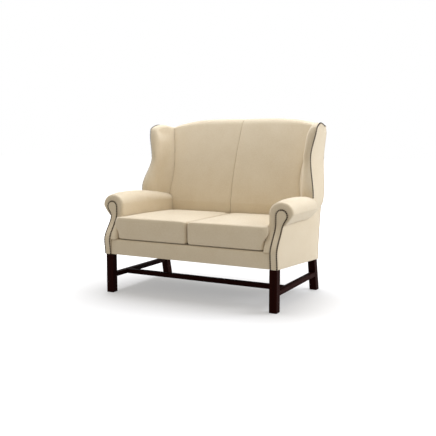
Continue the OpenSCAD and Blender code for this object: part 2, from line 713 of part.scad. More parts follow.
module outside_back() {
    levels = heights(rear_leg_h, back_top, 16);
    sides = heights(rear_leg_h, crest_z(arch_half) - gap * 2, 16);
    half_arch = [for (s = back_col_shares) let (x = mix(gap / 2, wing_rear_x - cover - gap, s))
        [x, crest_z(x) - gap]];
    function reach(z) = z < seam_z(frame_d) ? side_x : rear_edge(z)[0];
    color("#e6dcc4") placed() intersection() {
        board_yz(-half_w - roll_r, frame_w + 2 * roll_r, sawn(rear_leg_h, back_top, 0, panel_t, 16));
        board_xz(seat_d, frame_d, concat(
            [for (i = [len(sides) - 1:-1:0]) [-reach(sides[i]), sides[i]]],
            [for (z = sides) [reach(z), z]],
            [for (i = [len(half_arch) - 1:-1:0]) half_arch[i]],
            [for (p = half_arch) [-p[0], p[1]]]));
    }
}

module wing_pad() {
    color("#d9ccb0") difference() {
        wing_body();
        arm_space();
    }
}

module arm_pad() {
    color("#d9ccb0") difference() {
        arm_body();
        wing_post_shape(gap);
    }
}

// Inside back: rises from the deck, leans back and rolls over the top rail to the rear seam
crest_y = mix(inside_y(back_top), reach_rear, 0.15);
seam_valley = leg_w * 0.16;
function arc3(a, b, c, t) = a * (1 - t) * (1 - t) + b * 2 * t * (1 - t) + c * t * t;
function back_line(x, k) = let (low = crest_z(x), top = top_z(x), front = inside_y(low), rear = rear_y(low))
    k <= 1 ? let (z = mix(deck_top + gap, low, k)) [inside_y(z), z]
    : k <= 2 ? arc3([front, low], [mix(front, crest_y, 0.65), top], [crest_y, top], k - 1)
    : arc3([crest_y, top], [rear, top], [rear, low], k - 2);
function back_hide(x, k) = let (low = crest_z(x), roof = roof_z(x) + gap * 4)
    k <= 1 ? let (z = mix(deck_top + gap, roof, k)) [post_y(z) - strap_t - gap * 2, z]
    : k < 3 ? [mix(post_y(roof) - strap_t - gap * 2, rear_y(roof) - panel_t - gap, (k - 1) / 1.5), roof]
    : [rear_y(low) - panel_t - gap, low];
back_rows = concat([0, 0.1, 0.2],
    [for (i = [0:crease_rows]) (crease_level(i) - deck_top - gap) / (side_crest_z - deck_top - gap)],
    [1.35, 1.7, 2, 2.5, 3]);
function back_x(s, k) = mix(gap / 2, k <= 1 ? crease_x(mix(deck_top + gap, side_crest_z, k))
    : let (y = back_line(arch_half, k)[0], front = inside_y(side_crest_z))
        mix(crease_x(side_crest_z), wing_rear_x - cover - gap, (y - front) / (wing_reach_y - front)), s);
function valley(s) = seam_valley * (s < 0.05 ? 1 - s / 0.05 : s > 0.9 ? (s - 0.9) / 0.1 : 0);

// Inside back, from the middle seam to the wing
module back_pad() {
    color("#cdbd9c") sheet(
        [for (k = back_rows) [for (i = [0:len(back_col_shares) - 1])
            let (s = back_col_shares[i], x = back_x(s, k), p = back_line(x, k))
            [x, p[0] + (k <= 1 ? valley(s) : 0), p[1] - (k > 1 ? valley(s) * min(1, 3 - k) : 0)]]],
        [for (k = back_rows) [for (i = [0:len(back_col_shares) - 1])
            let (x = back_x(back_col_shares[i], k), p = back_hide(x, k)) [x, p[0], p[1]]]]);
}

// Loose cushion: straight walls with a slight swell, a crowned top and soft lower corners
wall_rows = [[0.5, 0], [0.86, 0], [0.955, 0.04], [0.99, 0.14], [1, 0.32], [1, 0.6], [0.994, 0.84],
    [0.978, 0.96], [0.955, 1]];
crown_shares = [0.85, 0.7, 0.5, 0.25];
cushion_front = -cut;
lug = roll_inset;
corner_share = 0.1;
side_shares = [0.05, 0.12, 0.3, 0.55, 0.8];
function corner(quarter, a) = let (c = 90 * quarter + 45, b = 90 * quarter + a)
    [(1 - corner_share) * sign(cos(c)) + corner_share * cos(b),
        (1 - corner_share) * sign(sin(c)) + corner_share * sin(b)];
// Outline of a cushion seen from above, within a square reaching 1 each way
rim = [for (quarter = [0:3]) each concat(
    [for (a = [0:18:90]) corner(quarter, a)],
    [for (share = side_shares) mix(corner(quarter, 90), corner(quarter + 1, 0), share)])];
function cushion_point(q, z) = let (
        y = mix(cushion_front, arm_rear_y - gap, (q[1] + 1) / 2),
        side = arm_in_x(y) - gap * 4,
        spread = lug * ease((front_y(z) - gap * 8 - y) / roll_inset) * ease((z - deck_top - leg_w) / leg_w)
            * ease((deck_top + cushion_h - z) / leg_w * 1.4) * (q[0] > 0 ? pow(q[0], 6) : 0))
    [mix(gap, side, (q[0] + 1) / 2) + spread, y, z];

module seat_cushion() {
    base = deck_top + gap;
    walls = [for (w = wall_rows) [for (q = rim) cushion_point(q * w[0], base + cushion_h * w[1])]];
    crowns = [for (share = crown_shares) [for (q = rim)
        cushion_point(q * share, base + cushion_h + cushion_crown * (1 - share * share))]];
    color("#efe7d3") onion(concat(walls, crowns), cushion_point([0, 0], base),
        cushion_point([0, 0], base + cushion_h + cushion_crown));
}

// Nails

// Points at equal steps along a line of many points
function step_after(path, i) = i + 1 < len(path) ? norm(path[i + 1] - path[i]) : 0;
function reach_along(path) = [for (i = 0, d = 0; i < len(path); d = d + step_after(path, i), i = i + 1) d];
function place_at(path, dist, d, i = 0) = i >= len(path) - 2 || dist[i + 1] >= d
    ? mix(path[i], path[i + 1], (d - dist[i]) / (dist[i + 1] - dist[i]))
    : place_at(path, dist, d, i + 1);

module nail_head() {
    cylinder(nail_h, nail_d / 2, nail_d * 0.27, $fn = 24);
}

function unit(v) = v / norm(v);

// Nail head on the cover at a point, turned to a direction
module nail_at(p, n) {
    translate(p + n * gap) rotate([0, acos(n[2]), atan2(n[1], n[0])]) nail_head();
}

facing_rise = heights(leg_h + nail_d / 2, head_z, 60);
facing_path = [for (p = concat(
        [for (z = facing_rise) [facing_in + nail_inset, z]],
        [for (a = [177:-3:-36]) [head_x + scroll_r * cos(a), head_z + scroll_r * sin(a)]],
        [for (z = heights(head_z - scroll_r * sin(36) - cut, leg_h + nail_d / 2, 60))
            [neck_x(z) - nail_inset, z]]))
    [p[0], front_y(p[1]), p[1]]];

module facing_nails() {
    dist = reach_along(facing_path);
    total = dist[len(dist) - 1];
    count = floor(total / nail_pitch);
    color("#4a3a28") for (i = [0:count]) {
        p = place_at(facing_path, dist, total * i / count);
        slope = (front_y(p[2] + cut) - front_y(p[2] - cut)) / (2 * cut);
        nail_at(p, unit([0, -1, slope]));
    }
}

wing_path = [for (i = [1:wing_rows - 1]) edge(i / wing_rows)];

module wing_nails() {
    dist = reach_along(wing_path);
    total = dist[len(dist) - 1];
    count = floor(total / nail_pitch);
    color("#4a3a28") for (i = [0:count]) {
        d = total * i / count;
        p = place_at(wing_path, dist, d);
        along = place_at(wing_path, dist, min(total, d + cut)) - place_at(wing_path, dist, max(0, d - cut));
        t = mix(1 / wing_rows, 1 - 1 / wing_rows, i / count);
        n = cross(along, -edge_way(t));
        nail_at(p, unit(n[0] > 0 ? n : -n));
    }
}

left() front_leg();  // front_leg_left
placed() front_leg();  // front_leg_right
left() rear_leg();  // rear_leg_left
placed() rear_leg();  // rear_leg_right
left() side_stretcher();  // side_stretcher_left
placed() side_stretcher();  // side_stretcher_right
middle_stretcher();
front_seat_rail();
rear_seat_rail();
left() side_seat_rail();  // side_seat_rail_left
placed() side_seat_rail();  // side_seat_rail_right
centre_seat_rail();
corner_blocks();
left() back_post();  // back_post_left
placed() back_post();  // back_post_right
top_rail();
lower_back_rails();
back_upright();
left() arm_stump();  // arm_stump_left
placed() arm_stump();  // arm_stump_right
left() arm_rail();  // arm_rail_left
placed() arm_rail();  // arm_rail_right
left() arm_tacking_rail();  // arm_tacking_rail_left
placed() arm_tacking_rail();  // arm_tacking_rail_right
left() wing_post();  // wing_post_left
placed() wing_post();  // wing_post_right
left() wing_top_rail();  // wing_top_rail_left
placed() wing_top_rail();  // wing_top_rail_right
seat_webbing_long();
seat_webbing_cross();
back_webbing();
seat_deck();
dust_cover();
front_border();
left() arm_facing();  // arm_facing_left
placed() arm_facing();  // arm_facing_right
left() facing_nails();  // facing_nails_left
placed() facing_nails();  // facing_nails_right
left() wing_nails();  // wing_nails_left
placed() wing_nails();  // wing_nails_right
left() back_pad();  // back_pad_left
placed() back_pad();  // back_pad_right
left() arm_pad();  // arm_pad_left
placed() arm_pad();  // arm_pad_right
left() wing_pad();  // wing_pad_left
placed() wing_pad();  // wing_pad_right
left() outside_arm();  // outside_arm_left
placed() outside_arm();  // outside_arm_right
left() outside_wing();  // outside_wing_left
placed() outside_wing();  // outside_wing_right
outside_back();
left() seat_cushion();  // seat_cushion_left
placed() seat_cushion();  // seat_cushion_right
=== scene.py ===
import math
import bmesh
import bpy
import numpy as np
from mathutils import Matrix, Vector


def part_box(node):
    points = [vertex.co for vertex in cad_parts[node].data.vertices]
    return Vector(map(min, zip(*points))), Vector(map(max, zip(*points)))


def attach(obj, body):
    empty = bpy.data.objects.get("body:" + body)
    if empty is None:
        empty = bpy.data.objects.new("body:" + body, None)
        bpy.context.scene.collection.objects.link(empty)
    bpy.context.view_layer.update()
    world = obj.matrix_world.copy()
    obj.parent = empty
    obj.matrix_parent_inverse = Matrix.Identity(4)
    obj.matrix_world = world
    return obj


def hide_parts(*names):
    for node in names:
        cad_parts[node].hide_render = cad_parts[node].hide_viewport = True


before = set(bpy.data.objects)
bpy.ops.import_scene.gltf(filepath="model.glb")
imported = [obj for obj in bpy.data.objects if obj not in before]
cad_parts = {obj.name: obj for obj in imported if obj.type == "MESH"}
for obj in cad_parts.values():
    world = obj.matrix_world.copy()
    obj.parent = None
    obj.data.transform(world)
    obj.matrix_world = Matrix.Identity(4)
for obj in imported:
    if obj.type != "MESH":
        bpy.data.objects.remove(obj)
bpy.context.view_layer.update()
print("settee frame loaded")

# Sizes of the settee in millimetres: back from the front legs' faces, out from the middle, up from the floor
size = {
    "halfWidth": 577.0, "depth": 659.0, "legHeight": 245.0, "rearLegHeight": 203.0, "legWidth": 38.0,
    "railTop": 325.0, "cover": 6.0, "backCover": 3.3, "postDepth": 45.0,
    "rollRadius": 75.0, "rollHeight": 545.0, "rollMiddle": 568.0, "rollTurn": 72.0, "stumpDrop": 5.0,
    "armInside": 493.0, "armSwell": 54.0, "armBulge": 14.0, "armSetback": 78.0,
    "bulgeShare": 0.3, "setbackShare": 0.86, "footLess": 8.0,
    "facingDepth": 10.0, "facingWidth": 47.0, "scrollRadius": 33.0, "scrollDrop": 10.0, "neckShare": 2.4,
    "backTop": 1092.0, "topDrop": 50.0, "seatDepth": 581.0,
    "wingCorner": 1024.0, "wingFront": 460.0, "wingSweep": 90.0,
    "deckTop": 339.0, "cushionHeight": 137.0, "nailWidth": 9.5, "nailPitch": 10.5, "originY": 412.66,
}
sides = ((1, "Right"), (-1, "Left"))
sideX = size["halfWidth"] + size["cover"]
facingIn = sideX - size["facingWidth"]
legIn = size["halfWidth"] - size["legWidth"]
nailInset = size["nailWidth"] / 2 - 0.25
headR = size["scrollRadius"] + nailInset
headX = facingIn + headR
headZ = size["rollHeight"] - size["scrollDrop"]
neckR = headR * size["neckShare"]
neckZ = headZ - math.sqrt((headR + neckR) ** 2 - (sideX + neckR - headX) ** 2)
turnSine = math.sin(math.radians(size["rollTurn"]))
creaseZ = size["rollHeight"] - size["rollRadius"] * 0.88 * turnSine
swellY = size["seatDepth"] * 0.4
armRearY = size["seatDepth"] - 0.5
stumpTop = size["rollHeight"] - size["stumpDrop"]
seatZ = size["deckTop"] + 0.5
panelT = size["cover"] / 2


# Straight blend: the first value at 0, the second at 1
def mix(a, b, t):
    return a + (b - a) * t


# Smooth step: three times the square less twice the cube, held between 0 and 1
def ease(t):
    c = np.clip(t, 0, 1)
    return c * c * (3 - 2 * c)


# First slopes and bends of the back's two faces, and how the inner one eases in over the arms
lean = {
    "rear": 0.058, "rearBend": 1.8551e-4, "foot": 540.0, "inside": 0.164, "insideBend": 3.5596e-4,
    "heldBy": 20.0, "heldOver": 80.0, "heldFade": 60.0,
}


# Outside back: upright over the rear legs, then a parabola that leans back to the top
def rearY(z):
    rise = np.maximum(0, z - size["rearLegHeight"])
    return size["depth"] + lean["rear"] * rise + lean["rearBend"] * rise ** 2


# Inside back: upright to the arms' height, eased in, then a parabola that leans back
def insideY(z):
    rise = np.maximum(0, z - lean["foot"])
    held = lean["heldBy"] * ease(rise / lean["heldOver"]) * np.exp(-rise / lean["heldFade"])
    return size["seatDepth"] + lean["inside"] * (rise - held) + lean["insideBend"] * rise ** 2


# Front of the back's posts: the outside back less its cover and their depth
def postY(z):
    return rearY(z) - size["backCover"] - size["postDepth"]


# Arm front seen from the side: a swell at the seat that eases back to the scroll
def frontY(z):
    bulgeZ = mix(size["legHeight"], headZ, size["bulgeShare"])
    setbackZ = mix(size["legHeight"], headZ, size["setbackShare"])
    low = size["footLess"] * ease((bulgeZ - z) / (bulgeZ - size["legHeight"]))
    high = size["armSetback"] * ease((z - bulgeZ) / (setbackZ - bulgeZ))
    return -size["armBulge"] + np.where(z < bulgeZ, low, high)


rollSeam = {
    "rise": 36.1, "start": 0.74, "reach": 0.4, "rearRise": 22.0, "rearStart": 610.0, "rearReach": 82.0,
}


# Seam under the arm roll: level at the front, a smooth step behind it and a parabola at the rear edge
def seamZ(y):
    start, reach = size["seatDepth"] * rollSeam["start"], size["depth"] * rollSeam["reach"]
    rear = rollSeam["rearRise"] * np.clip((y - rollSeam["rearStart"]) / rollSeam["rearReach"], 0, 1) ** 2
    return creaseZ + rollSeam["rise"] * ease((y - start) / reach) + rear


arch = {"share": 0.955, "power": 3.8, "crestDrop": 40.0, "wingShare": 0.2}
archHalf = size["halfWidth"] * arch["share"]


# Top line: a flat arch, the drop growing with a power of the distance from the middle
def topZ(x):
    return size["backTop"] - size["topDrop"] * np.minimum(1, np.abs(x) / archHalf) ** arch["power"]


# Rear seam under the rounded top: its drop shrinks towards the wings with the fourth power of the distance
def crestZ(x):
    return topZ(x) - arch["crestDrop"] * mix(1, arch["wingShare"], np.minimum(1, np.abs(x) / archHalf) ** 4)


backEdge = {
    "half": 466.2, "spread": 69.24, "turn": 0.36, "power": 1.5,
    "armSpread": 13.0, "armTop": 700.0, "armReach": 120.0,
}


# Half width of the inside back at each height, spreading towards the top and a little towards the arm
def creaseX(z):
    turnZ = mix(size["rollHeight"], size["backTop"], backEdge["turn"])
    top = size["backTop"] - size["topDrop"]
    high = np.minimum(1, np.maximum(0, z - turnZ) / (top - turnZ)) ** backEdge["power"]
    low = backEdge["armSpread"] * ease((backEdge["armTop"] - z) / backEdge["armReach"])
    return backEdge["half"] + backEdge["spread"] * high + low


topAtWing = size["backTop"] - size["topDrop"]
rearSeamY = 695.0
rearSeamZ = float(seamZ(rearSeamY))
sideCrestZ = float(crestZ(creaseX(topAtWing)))


# Right edge of the arm front: the strip, a hollow neck, then the round scroll
def neckX(z):
    touch = headZ - headR * (headZ - neckZ) / (headR + neckR)
    scroll = headX + np.sqrt(np.maximum(0, headR ** 2 - (z - headZ) ** 2))
    hollow = sideX + neckR - np.sqrt(np.maximum(0, neckR ** 2 - (z - neckZ) ** 2))
    return np.where(z > touch, scroll, np.where(z > neckZ, hollow, sideX))


# From millimetres at the legs' faces to metres in the shared frame, mirrored for the left side
def place(points, side=1):
    return (points - [0, size["originY"], 0]) * [side / 1000, 0.001, 0.001]


# Points from their coordinates' arrays, brought to one shape
def stack(*parts):
    return np.stack(np.broadcast_arrays(*parts), -1).astype(float)


# Quadratic curve through three points: the outer two reached, the middle one pulled towards
def arc3(a, b, c, t):
    return a * (1 - t) ** 2 + b * 2 * t * (1 - t) + c * t ** 2


# Length run along a line of points, starting with nothing
def runLength(line):
    return np.concatenate([[0], np.cumsum(np.linalg.norm(np.diff(line, axis=0), axis=1))])


# Unit normals of a grid of points: the cross product of its two running directions
def gridNormals(grid):
    normal = np.cross(np.gradient(grid, axis=1), np.gradient(grid, axis=0))
    return normal / np.maximum(np.linalg.norm(normal, axis=2, keepdims=True), 1e-9)


# Slight unevenness of stuffing: three crossing sine waves of unrelated lengths, between -1 and 1
def ripple(grid, wave, seed=0.0):
    x, y, z = (grid[..., i] / wave for i in range(3))
    first = np.sin(1.3 * x + 2.1 * z + 0.7 * y + seed)
    second = np.sin(2.3 * z - 1.7 * x + 1.1 * y + 2 * seed + 1)
    third = np.sin(1.9 * y + 1.2 * x - 0.9 * z + 3 * seed + 2)
    return (first + second + third) / 3


# Quads of a grid of rows and columns whose first point has the number start
def gridFaces(rows, cols, start=0):
    first = start + np.arange(rows - 1)[:, None] * cols + np.arange(cols - 1)
    return np.stack([first, first + 1, first + cols + 1, first + cols], -1).reshape(-1, 4)


# Numbers of the points round the edge of a grid, in order
def gridRim(rows, cols):
    order = np.arange(rows * cols).reshape(rows, cols)
    return np.concatenate([order[0, :-1], order[:-1, -1], order[-1, :0:-1], order[:0:-1, 0]])


# Cloth lengths: the mean distance run along the rows and down the columns, in metres
def clothMap(grid):
    across = np.linalg.norm(np.diff(grid, axis=1), axis=2).mean(0)
    down = np.linalg.norm(np.diff(grid, axis=0), axis=2).mean(1)
    u = np.concatenate([[0], np.cumsum(across)])
    v = np.concatenate([[0], np.cumsum(down)])
    return np.stack(np.meshgrid(u, v), -1).reshape(-1, 2)


# Two grids of one size, front and hidden side, joined round their edges into a closed skin
def shell(outer, inner):
    rows, cols = outer.shape[:2]
    count = rows * cols
    rim = gridRim(rows, cols)
    after = np.roll(rim, -1)
    side = np.stack([rim, rim + count, after + count, after], -1)
    faces = np.concatenate([gridFaces(rows, cols), gridFaces(rows, cols, count)[:, ::-1], side])
    return np.concatenate([outer.reshape(-1, 3), inner.reshape(-1, 3)]), faces


# One object from points and faces turned outwards, with cloth lengths and painted shade at seams and creases
# where given
def addPiece(name, verts, faces, cloth=None, tuck=None, sharp=60, weld=True):
    mesh = bpy.data.meshes.new(name)
    mesh.from_pydata(verts.tolist(), [], faces if isinstance(faces, list) else faces.tolist())
    if cloth is not None:
        corner = np.zeros(len(mesh.loops), np.int32)
        mesh.loops.foreach_get("vertex_index", corner)
        layer = mesh.uv_layers.new(name="cloth")
        layer.data.foreach_set("uv", cloth[corner].astype(np.float32).ravel())
    if tuck is not None:
        darker = mesh.attributes.new("tuck", "FLOAT", "POINT")
        darker.data.foreach_set("value", tuck.astype(np.float32).ravel())
    work = bmesh.new()
    work.from_mesh(mesh)
    if weld:
        bmesh.ops.remove_doubles(work, verts=work.verts, dist=1e-5)
        bmesh.ops.dissolve_degenerate(work, edges=work.edges, dist=1e-6)
    bmesh.ops.recalc_face_normals(work, faces=work.faces)
    work.to_mesh(mesh)
    work.free()
    mesh.shade_smooth()
    mesh.set_sharp_from_angle(angle=math.radians(sharp))
    piece = bpy.data.objects.new(name, mesh)
    bpy.context.scene.collection.objects.link(piece)
    return piece


# Material in a piece's one slot, its body and the nodes it replaces
def dress(piece, material, nodes, body="settee"):
    piece.data.materials.clear()
    piece.data.materials.append(material)
    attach(piece, body)
    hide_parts(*nodes)


# Closed skin from a front grid and a hidden one, with cloth lengths and painted shade at seams and creases on
# it
def skinPiece(name, outer, inner, tuck, side):
    outer, inner = place(outer, side), place(inner, side)
    verts, faces = shell(outer, inner)
    lengths = clothMap(outer)
    tuck = np.broadcast_to(tuck, outer.shape[:2]).ravel()
    return addPiece(name, verts, faces, np.concatenate([lengths, lengths]), np.concatenate([tuck, tuck]))


# Padded cover in the settee's cloth, in place of the node given
def addCover(name, node, outer, inner, tuck, side):
    dress(skinPiece(name, outer, inner, tuck, side), creamPile, [node])


# Shader node whose inputs are set to values or joined to the sockets given
def addNode(tree, kind, inputs=None, **settings):
    made = tree.nodes.new(kind)
    for key, value in settings.items():
        setattr(made, key, value)
    for key, value in (inputs or {}).items():
        if isinstance(value, bpy.types.NodeSocket):
            tree.links.new(value, made.inputs[key])
        else:
            made.inputs[key].default_value = value
    return made


# Colour between two, by a factor
def blendColour(tree, factor, a, b):
    a, b = (end if isinstance(end, bpy.types.NodeSocket) else (*end, 1) for end in (a, b))
    return addNode(tree, "ShaderNodeMix", {0: factor, 6: a, 7: b}, data_type="RGBA").outputs[2]


# One sum of a material, by the name of its operation
def reckon(tree, what, *values):
    return addNode(tree, "ShaderNodeMath", dict(enumerate(values)), operation=what).outputs[0]


# Noise between 0 and 1, its scale counted per metre
def noise(tree, where, scale, detail, rough=0.5, bend=0.0):
    inputs = {"Vector": where, "Scale": scale, "Detail": detail, "Roughness": rough, "Distortion": bend}
    return addNode(tree, "ShaderNodeTexNoise", inputs).outputs["Fac"]


# Bands of one thread width across an axis; the factor turns metres into the texture's own scale
def threads(tree, where, width, axis, bend, fine=1.0):
    inputs = {"Vector": where, "Scale": 0.314 / width, "Distortion": bend, "Detail": 2, "Detail Scale": fine}
    return addNode(tree, "ShaderNodeTexWave", inputs, bands_direction=axis).outputs["Fac"]


# New material with values on its shader's inputs, named with underscores for their spaces
def startMaterial(name, **sockets):
    material = bpy.data.materials.new(name)
    material.use_nodes = True
    tree = material.node_tree
    shader = tree.nodes["Principled BSDF"]
    for key, value in sockets.items():
        shader.inputs[key.replace("_", " ")].default_value = value
    return material, tree, shader


# Colour, roughness and the height of the bump go to the shader
def endMaterial(tree, shader, colour, rough, height, strength, distance):
    bump = addNode(tree, "ShaderNodeBump", {"Height": height, "Strength": strength, "Distance": distance})
    tree.links.new(colour, shader.inputs["Base Color"])
    tree.links.new(bump.outputs[0], shader.inputs["Normal"])
    if rough is not None:
        tree.links.new(rough, shader.inputs["Roughness"])


# sRGB numbers from 0 to 255 as linear light
def tone(r, g, b):
    share = np.array([r, g, b]) / 255
    return tuple(np.where(share <= 0.04045, share / 12.92, ((share + 0.055) / 1.055) ** 2.4))


# The seam tone is the colour of painted shade in seams, creases and gaps, and the last share says how far it
# is mixed in
pile = {
    "ground": tone(228, 215, 190), "deep": tone(217, 201, 172), "bright": tone(236, 225, 204),
    "seam": tone(150, 130, 100), "ribLength": 0.0017, "bump": 0.5, "sheen": 0.6, "shadeShare": 0.5,
}


# Short pile: yarn rows on the cloth's own lengths, brushed patches and fuzz on Object coordinates, and
# painted shade in seams and creases from a point attribute
def pileCloth(name):
    material, tree, shader = startMaterial(name, Roughness=0.92, Specular_IOR_Level=0.18,
        Sheen_Weight=pile["sheen"], Sheen_Roughness=0.42, Sheen_Tint=(1, 0.95, 0.86, 1))
    where = addNode(tree, "ShaderNodeTexCoord")
    here, along = where.outputs["Object"], where.outputs["UV"]
    brushed = noise(tree, here, 9, 3, 0.55)
    patches = noise(tree, here, 110, 3, 0.7)
    fuzz = noise(tree, here, 900, 3, 0.75)
    rows = threads(tree, along, pile["ribLength"], "Y", 1.2, 2.5)
    picks = threads(tree, along, pile["ribLength"] / 0.8, "X", 2.2, 1.5)
    weave = reckon(tree, "MULTIPLY_ADD", rows, 0.6, reckon(tree, "MULTIPLY", picks, 0.4))
    worn = reckon(tree, "MULTIPLY_ADD", brushed, 1.6, -0.25)
    colour = blendColour(tree, worn, pile["deep"], pile["ground"])
    lift = reckon(tree, "MULTIPLY", reckon(tree, "SUBTRACT", patches, 0.36), 1.6)
    colour = blendColour(tree, lift, colour, pile["bright"])
    colour = blendColour(tree, reckon(tree, "MULTIPLY", fuzz, 0.5), colour, pile["deep"])
    shade = reckon(tree, "MULTIPLY", reckon(tree, "SUBTRACT", 1.0, weave), 0.22)
    colour = blendColour(tree, shade, colour, pile["deep"])
    # painted shade: the seam tone mixed in by the point attribute, strongest in seams, creases and gaps
    shadeMask = addNode(tree, "ShaderNodeAttribute", attribute_name="tuck").outputs["Fac"]
    colour = blendColour(tree, reckon(tree, "MULTIPLY", shadeMask, pile["shadeShare"]), colour, pile["seam"])
    height = reckon(tree, "ADD", weave, reckon(tree, "MULTIPLY", fuzz, 0.9))
    rough = reckon(tree, "MULTIPLY_ADD", patches, 0.16, 0.8)
    endMaterial(tree, shader, colour, rough, height, pile["bump"], 0.0007)
    return material


# Wood: streaks drawn out along one axis over a broader figure, with fine open pores
def grainWood(name, axis, dark, light, rough, coat, specular=0.3):
    material, tree, shader = startMaterial(name, Coat_Weight=coat, Coat_Roughness=0.3,
        Specular_IOR_Level=specular)
    here = addNode(tree, "ShaderNodeTexCoord").outputs["Object"]
    scale = [1.0, 1.0, 1.0]
    scale[axis] = 0.045
    drawn = addNode(tree, "ShaderNodeMapping", {"Vector": here, "Scale": scale}).outputs[0]
    figure = noise(tree, drawn, 42, 4, bend=0.8)
    streak = noise(tree, drawn, 330, 3, 0.65)
    pores = noise(tree, drawn, 1500, 1)
    colour = blendColour(tree, reckon(tree, "MULTIPLY", figure, 1.1), dark, light)
    colour = blendColour(tree, reckon(tree, "MULTIPLY", streak, 0.55), colour, dark)
    level = reckon(tree, "MULTIPLY_ADD", streak, 0.22, rough)
    height = reckon(tree, "ADD", pores, reckon(tree, "MULTIPLY", streak, 0.6))
    endMaterial(tree, shader, colour, level, height, 0.25, 0.0002)
    return material


# Plain weave: two crossing thread waves of one thread width on Object coordinates, over a soft mottle
def plainWeave(name, thread, ground, shadow, rough, stripe=None):
    material, tree, shader = startMaterial(name, Roughness=rough, Specular_IOR_Level=0.15)
    here = addNode(tree, "ShaderNodeTexCoord").outputs["Object"]
    crossed = reckon(tree, "MULTIPLY", *(threads(tree, here, thread, axis, 0.6) for axis in "XY"))
    mottle = noise(tree, here, 60, 4)
    colour = blendColour(tree, reckon(tree, "MULTIPLY", crossed, 0.6), shadow, ground)
    colour = blendColour(tree, reckon(tree, "MULTIPLY", mottle, 0.5), colour, stripe or ground)
    endMaterial(tree, shader, colour, None, crossed, 0.5, thread * 0.3)
    return material


# Old bronze: patches of brown patina over a worn, brighter metal
def oldBronze(name):
    material, tree, shader = startMaterial(name, Metallic=0.9)
    patina = noise(tree, addNode(tree, "ShaderNodeTexCoord").outputs["Object"], 380, 3)
    colour = blendColour(tree, patina, tone(24, 18, 16), tone(58, 47, 39))
    endMaterial(tree, shader, colour, reckon(tree, "MULTIPLY_ADD", patina, 0.3, 0.24), patina, 0.2, 0.0002)
    return material


creamPile = pileCloth("creamPile")
legTones = {
    "dark": tone(18, 4, 3), "light": tone(46, 14, 7), "rough": 0.52, "coat": 0.0, "specular": 0.025,
}
frameTones = {"dark": tone(172, 132, 88), "light": tone(214, 180, 134), "rough": 0.6, "coat": 0.0}
mahogany = [grainWood("mahogany" + "XYZ"[i], i, **legTones) for i in range(3)]
beech = [grainWood("beech" + "XYZ"[i], i, **frameTones) for i in range(3)]
calico = plainWeave("deckCalico", 0.0009, tone(222, 211, 188), tone(180, 166, 140), 0.9)
blackCloth = plainWeave("bottomCloth", 0.0011, tone(38, 37, 38), tone(14, 14, 15), 0.95)
jute = plainWeave("juteWebbing", 0.0016, tone(176, 142, 98), tone(96, 70, 44), 0.92, tone(150, 116, 76))
bronze = oldBronze("oldBronze")
print("materials ready")


# Wooden pieces keep the frame's shape. The grain runs along x, y or z, and a name that ends in an
# underscore stands for the left and the right piece
wood = {
    "shown": [["middle_stretcher"], ["side_stretcher_"], ["front_leg_", "rear_leg_"]],
    "hidden": [
        ["front_seat_rail", "rear_seat_rail", "corner_blocks", "top_rail", "lower_back_rails"],
        ["side_seat_rail_", "centre_seat_rail", "arm_rail_", "arm_tacking_rail_", "wing_top_rail_"],
        ["back_post_", "back_upright", "arm_stump_", "wing_post_"],
    ],
    "arris": 0.0013,
}


# Only the arrises of what shows are softened
def finishWood(name, material, arris):
    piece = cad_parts[name]
    piece.data.materials.clear()
    piece.data.materials.append(material)
    if arris:
        weld = piece.modifiers.new("weld", "WELD")
        weld.merge_threshold = 0.00002
        soft = piece.modifiers.new("arris", "BEVEL")
        soft.width = arris
        soft.segments = 2
        soft.limit_method = "ANGLE"
        soft.angle_limit = math.radians(35)
        soft.harden_normals = False


for group, finishes, arris in (("shown", mahogany, wood["arris"]), ("hidden", beech, 0)):
    for material, names in zip(finishes, wood[group]):
        for name in names:
            for tail in ("left", "right") if name[-1] == "_" else ("",):
                finishWood(name + tail, material, arris)
print("legs, stretchers and hidden frame finished")


# Arm pads: j runs from 0 at the deck to 8 at the top of the inner wall and 24 at the outer seam
arm = {
    "wallCols": 26, "arcCols": 116, "rimRows": 24, "runRows": 84, "rimDepth": 19.0, "rimSwell": 3.6,
    "closeFrom": 25.0, "closedShare": 0.28, "rearPower": 0.85, "topRise": 1.04, "topFall": 0.36,
    "coreDepth": 18.5, "gatherPitch": 17.0, "gather": 0.7, "uneven": 0.5, "ripple": 46.0,
}


# Angle round the roll in degrees: 180 at the inner wall, over the top, then under it to the seam
def rollAngle(j):
    return 180 - (180 + size["rollTurn"]) * (j - 8) / 16


# Inside of the arms: straight to the swell, then a parabola in towards the seat
def armInX(y):
    share = np.maximum(0, y - swellY) / (size["seatDepth"] - swellY)
    return size["armInside"] + 2 - size["armSwell"] * share ** 2


# Section of the arm: a wall, a superellipse over the roll, and a parabola under it to the seam
def armSection(j, y):
    share = (y - swellY) / (size["seatDepth"] - swellY)
    angle = np.radians(rollAngle(j))
    power = mix(1, arm["rearPower"], ease(share))
    cosine = np.sign(np.cos(angle)) * np.abs(np.cos(angle)) ** power
    sine = np.sign(np.sin(angle)) * np.abs(np.sin(angle)) ** power
    closing = np.maximum(0, y - size["wingFront"] + arm["closeFrom"]) / size["rollRadius"]
    out = size["rollRadius"] * mix(arm["closedShare"], 1, np.sqrt(np.maximum(0, 1 - closing ** 2)))
    top = size["rollRadius"] * (arm["topRise"] - arm["topFall"] * share ** 2)
    reach = np.where(cosine < 0, size["rollMiddle"] - armInX(y), out)
    under = size["rollHeight"] - (size["rollHeight"] - seamZ(y)) * (np.sin(angle) / turnSine) ** 2
    wall = j < 8
    x = np.where(wall, armInX(y), size["rollMiddle"] + reach * cosine)
    z = np.where(wall, mix(seatZ, size["rollHeight"], j / 8),
        np.where(sine > 0, size["rollHeight"] + top * sine, under))
    return x, z


